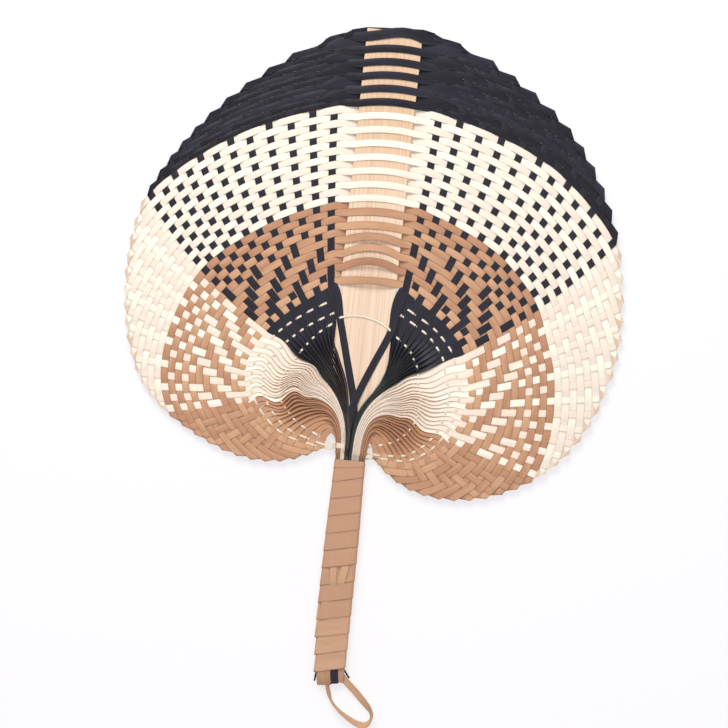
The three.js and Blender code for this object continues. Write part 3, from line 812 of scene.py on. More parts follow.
class Half:
    """One half of the blade's lattice, where ribs and wefts cross.

    Attributes:
        side: -1 on the left and 1 on the right.
        guides: Listed ribs.
        waves: How far the pale ribs sway where the binding strands pinch them.
        swell: How far the first rib leans out round the slat's taper.
        stack: Distance of some ribs from the grip's middle at its mouth, each after the rib's number.
    """

    SLAT_EDGE = 17.0
    # Way from one weft to the next where they lie close.
    PITCH = 4.0
    # Heights at which the first and the last rib join the bundle.
    FIRST_GATHER = 8.0
    LAST_GATHER = 4.0
    # How fast a rib runs out of the bundle, and how far the first and the last keep the blade's direction.
    FLARE = 0.006
    FIRST_REACH = 150.0
    LAST_REACH = 20.0
    STEP = 0.01
    # The first ribs lean round the slat's taper, and are pulled in below the inner weft.
    SWELL_RIBS = 15.0
    SWELL_FROM = 0.22
    SWELL_TO = 0.78
    PULL = 3.9
    PULL_RIBS = 6.0
    PULL_IN = (0.0, 0.1)
    PULL_OUT = (0.12, 0.3)
    # Ribs that sway, the stretch of the throat where they do, and the length and unevenness of the waves.
    SWAY_FIRST = (9.0, 13.0)
    SWAY_LAST = (26.0, 31.0)
    SWAY_IN = (0.0, 0.08)
    SWAY_OUT = (0.38, 0.56)
    SWAY_CREST = 0.12
    SWAY_WAVE = 0.27
    SWAY_UNEVEN = 0.5
    SWAY_GRAIN = 0.9
    SWAY_SEED = 0.5

    def __init__(self, side: int, guides: tuple[GuideRib, ...], waves: float, swell: float,
                 stack: tuple[tuple[float, float], ...]) -> None:
        """Keeps the half's guides.

        Args:
            side: -1 on the left and 1 on the right.
            guides: Listed ribs, from the slat to the grip.
            waves: Sway of the pale ribs in the throat.
            swell: Lean of the first rib round the slat's taper.
            stack: Distance of some ribs from the grip's middle at its mouth, each with the rib's number.
        """
        self.side = side
        self.guides = guides
        self.waves = waves
        self.swell = swell
        self.stack = stack

    def stack_place(self, rib: float) -> float:
        """Distance of a rib from the grip's middle at its mouth."""
        for (low, start), (high, end) in zip(self.stack, self.stack[1:]):
            if rib <= high:
                break
        return mix(start, end, (rib - low) / (high - low))

    @lru_cache(maxsize=None)
    def guide(self, rib: float, key: str) -> float:
        """Smooth value of a guide's size at a rib, which may be a fraction.

        Args:
            rib: Rib, counted from the slat.
            key: Name of the size.

        Returns:
            The size there.
        """
        share = rib / LAST
        last = len(self.guides) - 1
        k = 0
        while k < last - 1 and share > self.guides[k + 1].share:
            k += 1

        def slope(index: int) -> float:
            """Slope at one guide, from its two neighbours."""
            before = self.guides[max(0, index - 1)]
            after = self.guides[min(last, index + 1)]
            return (getattr(after, key) - getattr(before, key)) / (after.share - before.share)

        low, high = self.guides[k], self.guides[k + 1]
        span = high.share - low.share
        s = (share - low.share) / span
        return ((2 * s**3 - 3 * s**2 + 1) * getattr(low, key) + (s**3 - 2 * s**2 + s) * span * slope(k)
                + (3 * s**2 - 2 * s**3) * getattr(high, key) + (s**3 - s**2) * span * slope(k + 1))

    def crossing(self, weft: float, rib: float) -> Vector:
        """Point where a weft crosses a rib; both may be fractions."""
        first_natural = BLACK_STRIPS - 0.5
        first_brown = BLACK_STRIPS + NATURAL_STRIPS - 0.5
        length = (LAST - max(weft, first_brown)) * (self.PITCH + self.guide(rib, "inner_loose"))
        if weft < first_brown:
            length += (first_brown - max(weft, first_natural)) * (self.PITCH + self.guide(rib, "loose"))
        if weft < first_natural:
            length += (first_natural - weft) * (self.PITCH + self.guide(rib, "rim_loose"))
        angle = math.radians(self.guide(rib, "heading") - 0.5 * self.guide(rib, "bend") * length)
        out = self.SLAT_EDGE + self.guide(rib, "out") + length * math.sin(angle)
        return place(self.side * out, self.guide(rib, "up") + length * math.cos(angle))

    def gather_height(self, rib: float) -> float:
        """Height above the mouth at which a rib joins the bundle."""
        return mix(self.FIRST_GATHER, self.LAST_GATHER, rib / LAST)

    def throat(self, rib: float, share: float) -> Vector:
        """Point of a rib between the blade (share 0) and the bundle above the mouth (share 1)."""
        heading = math.radians(self.guide(rib, "heading"))
        start_x = self.SLAT_EDGE + self.guide(rib, "out")
        start_y = self.guide(rib, "up")
        reach = mix(self.FIRST_REACH, self.LAST_REACH, rib / LAST)
        leave_x = -math.sin(heading) * reach
        leave_y = -math.cos(heading) * reach
        end_x = self.stack_place(rib)
        end_y = self.gather_height(rib)
        fall = math.sqrt(max(3 * (start_x - end_x) + leave_x, self.PITCH) / self.FLARE)
        at_start = 2 * share**3 - 3 * share**2 + 1
        at_leave = share**3 - 2 * share**2 + share
        at_fall = share**3 - share**2
        x = at_start * start_x + at_leave * leave_x + (1 - at_start) * end_x
        y = at_start * start_y + at_leave * leave_y + (1 - at_start) * end_y - at_fall * fall
        lean = min(max((share - self.SWELL_FROM) / (self.SWELL_TO - self.SWELL_FROM), 0.0), 1.0)
        near = max(0.0, 1 - max(rib, 0.0) / self.SWELL_RIBS) ** 2
        swell = self.swell * near * math.sin(math.pi * lean) ** 2
        pull = self.PULL * max(0.0, 1 - max(rib - 1, 0.0) / self.PULL_RIBS) ** 2
        pull *= ease(*self.PULL_IN, share) * (1 - ease(*self.PULL_OUT, share))
        return place(self.side * (x + swell - pull), y)

    def throat_way(self, rib: float, share: float) -> Vector:
        """Unit direction of a rib in the throat, from the grip to the blade."""
        return (self.throat(rib, share - self.STEP) - self.throat(rib, share + self.STEP)).normalized()

    def outwards(self, way: Vector) -> Vector:
        """Level direction across a rib, away from the slat, where the rib runs along way."""
        return place(way.y, -way.x) * self.side

    def sway(self, rib: float, share: float) -> float:
        """Sideways sway of the pale ribs between the binding strands."""
        pale = ease(*self.SWAY_FIRST, rib) * (1 - ease(*self.SWAY_LAST, rib))
        window = ease(*self.SWAY_IN, share) * (1 - ease(*self.SWAY_OUT, share))
        spot = Vector((rib * self.SWAY_GRAIN, self.side, self.SWAY_SEED))
        uneven = 1 + self.SWAY_UNEVEN * noise.noise(spot)
        wave = math.cos(math.tau * (share - self.SWAY_CREST) / self.SWAY_WAVE)
        return -self.waves * uneven * pale * window * wave


LEFT = Half(-1, LEFT_GUIDES, waves=2.8, swell=-2.2, stack=((0, 1.3), (12, 3.9), (26, 6.2), (38, 9.1)))
RIGHT = Half(1, RIGHT_GUIDES, waves=1.4, swell=5.7, stack=((0, -1.1), (12, 0.8), (26, 5.2), (38, 9.1)))

# Heights of the slat's sections and half their width.
SLAT_PROFILE = (
    (24.0, 0.9), (27.0, 1.8), (34.0, 5.2), (42.0, 9.6), (50.0, 13.6), (56.0, 16.2), (60.0, 17.0),
    (95.0, 17.0), (130.0, 17.0), (180.0, 17.0), (220.0, 17.0), (250.0, 17.0), (262.4, 17.0), (262.8, 16.6),
)


def slat_half(y: float) -> float:
    """Half the slat's width at a height."""
    if y < SLAT_PROFILE[0][0]:
        return 0.0
    for (low, start), (high, end) in zip(SLAT_PROFILE, SLAT_PROFILE[1:]):
        if y <= high:
            break
    return mix(start, end, min((y - low) / (high - low), 1.0))


def in_front(weft: int, rib: int) -> bool:
    """True where a weft lies in front of a rib; the slat counts as the rib before the first.

    Args:
        weft: Weft, counted from the rim.
        rib: Rib, counted from the slat.

    Returns:
        Whether the weft shows.
    """
    from_inside = LAST - weft
    if weft == rib:
        return True
    if rib >= 0 and 1 <= from_inside <= TWILL_WEFTS:
        return (rib + from_inside + 1) % 4 < 2
    return (weft + rib) % 2 == 0


@dataclass
class LeafWeave:
    """The 38 leaf strips of the blade.

    On each half a strip runs up from the grip as a rib, folds at the rim and comes back to the slat
    as a weft.
    The throat is the stretch below the inner weft, where the ribs turn on edge and gather into a bundle.

    Attributes:
        width: Width of a strip.
        thickness: Thickness of a strip.
        grain_step: How far apart the strips' grain begins.
        pale_turns: How far the natural strips' shades take turns.
        crowns: How far the middle of a black, a natural and a brown strip stands up.
        flat_crown: What is left of that in the throat.
        curls: How far a black, a natural and a brown fold stands up at the rim.
        fold_edge_tints_and_shades: How far those folds take on the cut-edge colour and the painted edge
            shade, as painted shading of the fold.
        fold_reach: How far a fold reaches past its middle line.
        fold_room: Share of the way to the next strip that a fold takes up.
        left_fold_shifts: How far the first folds on the left lie off the lattice.
        right_fold_shifts: The same on the right.
        rib_fill: The most that a rib fills of the way to the next.
        rib_rise: How far a rib rises over a weft.
        rib_steps: Sections of a rib from one weft to the next.
        weft_fill: What a weft fills of the way to the next.
        weft_rise: How far a weft rises over a rib.
        weft_spots: Sections of a weft from one rib to the next.
        weft_end: Where the last section before the slat may be.
        edge_share: Share of the way to the next rib over which a weft stays level.
        slat_lap: How much a weft widens beside the slat.
        black_lap: How much a black weft that runs behind the slat widens there.
        lap_ribs: Ribs over which it does.
        slat_level: Height of a strip that crosses the slat.
        slat_margin: How far it reaches past the slat's edge.
        slat_spots: Where it has its sections.
        slat_spread: What a brown strip fills there of the way to the next.
        black_spread: How much wider a black strip is there.
        back_flare: How much a black strip behind the slat widens at the slat's edge.
        flare_from: Share of the half width from which it does.
        top_spread: How much wider the second strip is, over the slat's top.
        top_skew: How far its bow leans to the right.
        plain_arch: How far a strip bows up over the slat, how far it stands off, and how it slants.
        slat_arches: The same for some strips, after the strip's number.
        throat_steps: Sections of a rib in the throat.
        throat_width: The most that a rib widens where it is flat there.
        throat_fill: What it fills there of the way to the next.
        throat_plain: How much of its own shade a strip loses on edge.
        turning: Shares of the throat between which a rib turns on edge.
        edging: Shares between which its edge takes on the look of the bundle.
        flat_plan: What a flat rib covers of its room.
        dark_lap: What a black or brown rib on edge covers.
        pale_lap: What a natural rib on edge covers.
        pale_first: Ribs between which that begins.
        pale_last: Ribs between which it ends.
        last_spread: How much more the last ribs cover.
        spread_ribs: Number of these ribs.
        spreading: Shares of the throat between which they do.
        most_plan: The most of its width that a rib on edge covers.
        least_room: The least room counted for it.
        flat_room: The same where it is flat.
        flat_tilt: Angle of a flat rib.
        strand_level: Share of a rib's raised edge at which a binding strand crosses it.
        slat_lift: How far a rib stands up where it crosses the slat's foot.
        slat_near: Distances inside the slat's edge between which it rises.
        edge_fill: What the thickness of a rib on edge fills of its room.
        most_extra: The most thickness that it gains so.
        natural_clean: How far the edge of a natural rib keeps the look of the leaf, without the cut-edge
            colour and painted edge shade.
        brown_clean: The same for a brown rib.
        lead_every: Number of ribs to each that leads the bundle.
        leading: Shares of the throat between which it comes forward.
        lead_fill: What it fills of its group's room.
        lead_extra: The most thickness that it gains so.
        lead_lift: How far it comes forward.
        first_left: Points of the first rib on the left, from the grip up.
        first_right: The same on the right.
        first_tilts: Degrees by which the left and the right one turn at the mouth.
        first_flat: Share of their way after which they are flat.
        first_spread: How much they widen towards the blade.
        first_widen: Heights between which they do.
        nudge: Step along a curve that gives its direction.
        tail_reach: How far the strips run into the grip.
        tail_sections: Sections of the first right rib there.
        tail_lean: How far a strip's end leans from upright.
        tail_drop: How far the first right rib lies deeper in the grip.
    """

    width: float = 4.4
    thickness: float = 0.2
    grain_step: float = 700.0
    pale_turns: float = 0.55
    crowns: tuple[float, float, float] = (0.24, 0.12, 0.17)
    flat_crown: float = 0.5
    curls: tuple[float, float, float] = (1.1, 0.5, 0.3)
    fold_edge_tints_and_shades: tuple[float, float, float] = (0.0, 1.8, 1.0)
    fold_reach: float = 0.7
    fold_room: float = 0.6
    left_fold_shifts: tuple[tuple[float, float], ...] = ((5.7, -1.2), (4.8, 0.6))
    right_fold_shifts: tuple[tuple[float, float], ...] = ((-8.0, -1.2), (-6.4, 0.8))
    rib_fill: float = 0.97
    rib_rise: float = 0.15
    rib_steps: int = 3
    weft_fill: float = 1.01
    weft_rise: float = 0.34
    weft_spots: tuple[float, ...] = (0.0, -0.3, -0.5, -0.7)
    weft_end: float = -0.35
    edge_share: float = 0.36
    slat_lap: float = 0.12
    black_lap: float = 0.7
    lap_ribs: float = 0.6
    slat_level: float = 1.08
    slat_margin: float = 0.3
    slat_spots: tuple[float, ...] = (-14.0, -9.5, -4.8, 0.0, 4.8, 9.5, 14.0)
    slat_spread: float = 1.14
    black_spread: float = 1.13
    back_flare: float = 0.6
    flare_from: float = 0.85
    top_spread: float = 1.5
    top_skew: float = 0.75
    plain_arch: tuple[float, float, float] = (1.6, 0.25, 0.0)
    slat_arches: tuple[tuple[int, float, float, float], ...] = (
        (0, 0.2, 0.25, 0.0), (1, 3.0, 0.4, 0.0),
        (31, 3.0, 2.8, -0.3), (33, 4.9, 0.6, 0.1), (35, 4.5, 3.8, -0.4), (37, 1.0, 3.8, -0.4),
    )
    throat_steps: int = 34
    throat_width: float = 6.2
    throat_fill: float = 1.12
    throat_plain: float = 0.8
    turning: tuple[float, float] = (0.03, 0.36)
    edging: tuple[float, float] = (0.08, 0.36)
    flat_plan: float = 1.04
    dark_lap: float = 1.12
    pale_lap: float = 1.4
    pale_first: tuple[float, float] = (10.0, 13.0)
    pale_last: tuple[float, float] = (24.0, 29.0)
    last_spread: float = 3.0
    spread_ribs: float = 5.0
    spreading: tuple[float, float] = (0.25, 0.5)
    most_plan: float = 0.985
    least_room: float = 0.05
    flat_room: float = 0.2
    flat_tilt: float = 0.06
    strand_level: float = 0.7
    slat_lift: float = 2.2
    slat_near: tuple[float, float] = (-1.0, 2.5)
    edge_fill: float = 0.6
    most_extra: float = 0.26
    natural_clean: float = 0.6
    brown_clean: float = 0.8
    lead_every: int = 3
    leading: tuple[float, float] = (0.35, 0.7)
    lead_fill: float = 0.8
    lead_extra: float = 0.6
    lead_lift: float = 0.5
    first_left: tuple[tuple[float, float, float], ...] = (
        (-1.3, 5.0, 0.3), (-0.9, 16.0, 0.6), (-0.5, 28.0, 1.05), (-2.4, 39.3, 1.1), (-4.6, 47.5, 1.12),
        (-8.4, 61.0, 1.12), (-13.5, 79.5, 1.12), (-16.6, 90.0, 1.12), (-19.4, 100.0, 1.0),
    )
    first_right: tuple[tuple[float, float, float], ...] = (
        (-3.7, 5.0, 2.2), (-3.6, 16.0, 2.3), (-3.2, 26.5, 2.1), (-1.0, 35.2, 1.9), (1.9, 43.9, 1.6),
        (8.0, 59.3, 1.3), (16.2, 79.2, 1.15), (18.0, 91.0, 1.12), (19.8, 101.0, 1.0),
    )
    first_tilts: tuple[float, float] = (25.0, 8.0)
    first_flat: float = 0.3
    first_spread: float = 0.5
    first_widen: tuple[float, float] = (82.0, 96.0)
    nudge: float = 0.01
    tail_reach: float = 13.0
    tail_sections: int = 4
    tail_lean: float = 0.05
    tail_drop: float = 0.3

    def crown(self, strip: int) -> float:
        """How far the middle of a strip stands up."""
        return self.crowns[colour_index(strip)]

    def rib_level(self, weft: float, rib: int) -> float:
        """Height of a rib at a weft, which may be a fraction."""
        before = math.floor(weft)
        share = ease(0.0, 1.0, weft - before)
        levels = [-1 if in_front(min(w, LAST), rib) else 1 for w in (before, before + 1)]
        return self.rib_rise * mix(levels[0], levels[1], share)

    def weft_level(self, weft: int, rib: float) -> float:
        """Height of a weft at a rib, which may be a fraction."""
        before = math.floor(rib)
        share = ease(self.edge_share, 1 - self.edge_share, rib - before)
        levels = [1 if in_front(weft, r) else -1 for r in (before, before + 1)]
        return self.weft_rise * mix(levels[0], levels[1], share)

    def tilt(self, strip: int, room: float, share: float) -> float:
        """Angle to which a rib is turned on edge in the throat.

        Args:
            strip: The strip.
            room: Way from the middle of the gap before the rib to the middle of the gap after it.
            share: Share of the way from the blade to the bundle.

        Returns:
            The angle from flat.
        """
        turned = ease(*self.turning, share)
        pale = ease(*self.pale_first, strip) * (1 - ease(*self.pale_last, strip))
        loose = mix(self.dark_lap, self.pale_lap, pale)
        loose += self.last_spread * ease(LAST - self.spread_ribs, LAST, strip) * ease(*self.spreading, share)
        plan = mix(self.flat_plan, loose, turned) * max(room, self.least_room)
        plan = min(plan, self.most_plan * self.width)
        return math.acos(plan / self.width) * turned + self.flat_tilt * (1 - turned)

    def edge_height(self, strip: int, room: float, share: float) -> float:
        """Height over a rib's middle at which a binding strand crosses its raised edge."""
        return self.width / 2 * math.sin(self.tilt(strip, room, share)) * self.strand_level

    def tail_stations(self, half: Half, strip: int) -> list[Station]:
        """A strip's end in the grip, on edge, apart from the first right rib's, which lies flat."""
        out = place(half.side, 0.0)
        reach = self.width / 2
        if strip == 0 and half.side > 0:
            x, y, z = self.first_right[0]
            count = self.tail_sections
            heights = [mix(-self.tail_reach, y, k / count) for k in range(count)]
            return [Station(place(x, low, z - self.tail_drop), out, UP.copy(), reach) for low in heights]
        top = half.throat(strip, 1.0)
        across = (UP + out * self.tail_lean).normalized()
        normal = (UP * self.tail_lean - out).normalized()
        heights = (-self.tail_reach, -self.tail_reach / 2, 0.0, top.y / 2)
        return [Station(place(top.x, y), across, normal, reach) for y in heights]

    def first_rib_stations(self, half: Half) -> list[Station]:
        """The first rib: a straight run down the front of the slat, the right one over the left one."""
        corners = self.first_right if half.side > 0 else self.first_left
        points = [Vector(corner) for corner in corners]
        points.append(half.crossing(LAST, 0))
        runs = [0.0]
        for before, after in zip(points, points[1:]):
            runs.append(runs[-1] + (after - before).length)
        stations = []
        steps = self.throat_steps
        for k in range(steps):
            run = runs[-1] * k / steps
            j = max(i for i, value in enumerate(runs[:-1]) if value <= run)
            a, b, c, d = (points[min(max(j + i, 0), len(points) - 1)] for i in (-1, 0, 1, 2))
            t = (run - runs[j]) / (runs[j + 1] - runs[j])
            middle = spline(a, b, c, d, t)
            way = (spline(a, b, c, d, t + self.nudge) - spline(a, b, c, d, t - self.nudge)).normalized()
            out = half.outwards(place(way.x, way.y).normalized())
            tilt = math.radians(self.first_tilts[half.side > 0]) * (1 - ease(0.0, self.first_flat, k / steps))
            across = out * math.cos(tilt) + UP * math.sin(tilt)
            normal = (way.cross(across) * -half.side).normalized()
            reach = self.width / 2 * (1 + self.first_spread * ease(*self.first_widen, middle.y))
            stations.append(Station(middle, across, normal, reach, self.crown(0) * self.flat_crown))
        return stations

    def throat_stations(self, half: Half, strip: int) -> list[Station]:
        """A rib from the bundle above the mouth to the inner weft, turning from on edge to flat."""
        if strip == 0:
            return self.first_rib_stations(half)
        edge_clean = self.brown_clean if strip >= LeafColour.BROWN.first else self.natural_clean
        stations = []
        for k in range(self.throat_steps, 0, -1):
            share = k / self.throat_steps
            way = half.throat_way(strip, share)
            out = half.outwards(way)
            room = (half.throat(strip + 0.5, share) - half.throat(strip - 0.5, share)).dot(out)
            flat_width = min(self.throat_width, self.throat_fill * max(room, self.flat_room))
            tilt = self.tilt(strip, room, share)
            reach = mix(flat_width, self.width, ease(*self.turning, share)) / 2
            where = half.throat(strip, share)
            lift = self.slat_lift * ease(*self.slat_near, slat_half(where.y) - abs(where.x))
            middle = where + out * half.sway(strip, share) + UP * lift
            across = out * math.cos(tilt) + UP * math.sin(tilt)
            normal = UP * math.cos(tilt) - out * math.sin(tilt)
            on_edge = ease(*self.edging, share) if strip >= BLACK_STRIPS else 0.0
            fuller = self.edge_fill * room * math.sin(tilt) - self.thickness
            extra = on_edge * min(max(fuller, 0.0), self.most_extra)
            if strip % self.lead_every == 1:
                forward = ease(*self.leading, share)
                fuller = self.lead_fill * room * self.lead_every - self.most_extra
                extra += forward * min(max(fuller, 0.0), self.lead_extra)
                middle += UP * (self.lead_lift * forward)
            stations.append(Station(
                middle, across, normal, reach, self.crown(strip) * self.flat_crown,
                extra=extra, clean=on_edge * edge_clean, lean=1 - self.throat_plain * on_edge,
            ))
        return stations

    def rib_stations(self, half: Half, strip: int) -> list[Station]:
        """A rib in the blade, from the inner weft to the fold at the rim."""
        stations = []
        steps = (LAST - strip) * self.rib_steps
        for k in range(steps + 1):
            weft = LAST - k / self.rib_steps
            if weft < strip + self.fold_room:
                break
            way = (half.crossing(weft - 0.5, strip) - half.crossing(weft + 0.5, strip)).normalized()
            out = half.outwards(way)
            room = (half.crossing(weft, strip + 0.5) - half.crossing(weft, strip - 0.5)).dot(out)
            reach = min(self.width, self.rib_fill * room) / 2
            middle = half.crossing(weft, strip) + UP * self.rib_level(weft, strip)
            stations.append(Station(middle, out, UP.copy(), reach, self.crown(strip)))
        return stations

    def fold_stations(self, half: Half, strip: int) -> list[Station]:
        """The slanting fold at the rim, where a rib turns over and becomes a weft."""
        way = half.crossing(strip - 0.5, strip) - half.crossing(strip + 0.5, strip)
        out = half.outwards(way.normalized())
        room = (half.crossing(strip, strip + 0.5) - half.crossing(strip, strip - 0.5)).dot(out)
        share = min(self.width / room, self.rib_fill) / 2
        low = half.crossing(strip + self.weft_fill / 2, strip + share)
        high = half.crossing(strip - self.weft_fill / 2, strip - share)
        across = (low - high).normalized()
        beyond = place(across.y, -across.x) * half.side
        middle = (low + high) / 2
        shifts = self.right_fold_shifts if half.side > 0 else self.left_fold_shifts
        if strip < len(shifts):
            middle += place(*shifts[strip])
        reach = (low - high).length / 2
        under = -self.rib_rise
        over = self.weft_rise + self.curls[colour_index(strip)]
        # Painted shading of the fold: it takes on the cut-edge colour and the painted edge shade.
        edge_tint_and_shade = self.fold_edge_tints_and_shades[colour_index(strip)]
        turn = middle + beyond * self.fold_reach + UP * (under + over) / 2
        return [
            Station(middle + UP * under, across, UP.copy(), reach),
            Station(turn, across, -beyond, reach, 0.0, edge_tint_and_shade),
            Station(middle + UP * over, across, -UP, reach, 0.0, edge_tint_and_shade),
        ]

    def weft_stations(self, half: Half, strip: int) -> list[Station]:
        """A weft from the fold at the rim to the edge of the slat."""
        behind = 0 < strip < BLACK_STRIPS and not in_front(strip, -1)
        lap = self.black_lap if behind else self.slat_lap
        stations = []
        spots = [rib + offset for rib in range(strip, -1, -1) for offset in self.weft_spots]
        for rib in spots:
            if rib > strip - self.fold_room or rib < self.weft_end:
                continue
            way = (half.crossing(strip, rib - 0.5) - half.crossing(strip, rib + 0.5)).normalized()
            across = -half.outwards(way)
            room = (half.crossing(strip + 0.5, rib) - half.crossing(strip - 0.5, rib)).dot(across)
            reach = (self.weft_fill + lap * (1 - ease(0.0, self.lap_ribs, rib))) * room / 2
            middle = half.crossing(strip, rib) + UP * self.weft_level(strip, rib)
            stations.append(Station(middle, across, -UP, reach, -self.crown(strip)))
        return stations

    def slat_arch(self, strip: int) -> tuple[float, float, float]:
        """How far a weft's run over the slat bows up, how far it stands off, and how it slants."""
        for number, rise, bulge, slant in self.slat_arches:
            if number == strip:
                return rise, bulge, slant
        return self.plain_arch

    def slat_stations(self, strip: int) -> list[Station]:
        """A weft's run across the slat, from left to right."""
        left = LEFT.crossing(strip, -0.5)
        right = RIGHT.crossing(strip, -0.5)
        face = Face.FRONT if in_front(strip, -1) else Face.BACK
        rise, bulge, slant = self.slat_arch(strip)
        pitch = (LEFT.crossing(strip - 0.5, -0.5) - LEFT.crossing(strip + 0.5, -0.5)).length
        reach = pitch * (self.slat_spread if strip >= LeafColour.BROWN.first else self.weft_fill) / 2
        skew = self.top_skew if strip == 1 else 0.0
        if strip == 1:
            reach *= self.top_spread
        elif 1 < strip < BLACK_STRIPS:
            reach *= self.black_spread
        flare = self.back_flare if 0 < strip < BLACK_STRIPS and face is Face.BACK else 0.0
        stations = []
        edge = LEFT.SLAT_EDGE + self.slat_margin
        for x in (-edge, *self.slat_spots, edge):
            share = x / edge
            side_y = mix(left.y, right.y, (share + 1) / 2)
            lift = 1 - share * share
            level = self.slat_level + bulge * lift
            lean = slant * lift
            down = place(0.0, -math.cos(lean), face.value * math.sin(lean))
            normal = place(0.0, -math.sin(lean), -math.cos(lean))
            middle = place(x, side_y + rise * lift * (1 + skew * share), face.value * level)
            wide = reach * (1 + flare * ease(self.flare_from, 1.0, abs(share)))
            stations.append(Station(middle, down, normal, wide, -self.crown(strip) * face.value))
        return stations

    def stations(self, strip: int) -> list[Station]:
        """All of one strip, from its left end in the grip round the blade to its right end."""
        halves = []
        for half in (LEFT, RIGHT):
            halves.append([
                *self.tail_stations(half, strip),
                *self.throat_stations(half, strip),
                *self.rib_stations(half, strip),
                *self.fold_stations(half, strip),
                *self.weft_stations(half, strip),
            ])
        return [*halves[0], *self.slat_stations(strip), *halves[1][::-1]]

    def build(self) -> list[bpy.types.Object]:
        """Makes every strip and dresses it.

        Returns:
            The strips.
        """
        shades = random.Random(WEAVE_SEED)
        made = []
        for colour in LeafColour:
            for k in range(colour.count):
                strip = colour.first + k
                tone = shades.random()
                if colour is LeafColour.NATURAL:
                    tone = mix(tone, float(k % 2), self.pale_turns)
                ribbon = Ribbon(self.stations(strip), self.thickness, tone, self.grain_step * strip)
                piece = ribbon.build(f"leaf_{colour.value}_{k + 1:02d}", STRIP_FINISH[colour])
                made.append(dress(piece, colour.slot, f"{colour.value}_strip_{k + 1:02d}"))
        return made


def closed_loft(name: str, rings: list[list[Vector]], material: bpy.types.Material) -> bpy.types.Object:
    """Makes a closed mesh through rings of points.

    Args:
        name: Name of the piece.
        rings: Rings with equal numbers of points, turning right-handed about the way from first to last.
        material: Its material.

    Returns:
        The new object, in the row frame.
    """
    around = len(rings[0])
    faces = []
    for k in range(len(rings) - 1):
        for a in range(around):
            b = (a + 1) % around
            faces.append((k * around + a, k * around + b, (k + 1) * around + b, (k + 1) * around + a))
    faces.append(tuple(range(around - 1, -1, -1)))
    faces.append(tuple((len(rings) - 1) * around + a for a in range(around)))
    return make_piece(name, [point for ring in rings for point in ring], faces, LOFT_SHARP, material)


@dataclass
class Slat:
    """The flat bamboo slat down the middle of the blade.

    Attributes:
        thickness: Its thickness.
        bevel: Rounding of its long edges.
        most_bevel: The most that it takes of the half width.
    """

    thickness: float = 1.8
    bevel: float = 0.3
    most_bevel: float = 0.4

    def ring(self, y: float, half: float) -> list[Vector]:
        """One bevelled cross section."""
        rise = self.thickness / 2
        cut = min(self.bevel, half * self.most_bevel)
        spots = [(half, -rise + cut), (half - cut, -rise), (cut - half, -rise), (-half, cut - rise),
                 (-half, rise - cut), (cut - half, rise), (half - cut, rise), (half, rise - cut)]
        return [place(x, y, z) for x, z in spots]

    def build(self) -> list[bpy.types.Object]:
        """Makes the slat and dresses it."""
        made = closed_loft("slat", [self.ring(y, half) for y, half in SLAT_PROFILE], BAMBOO.material())
        return [dress(made, "bamboo", "bamboo_slat")]


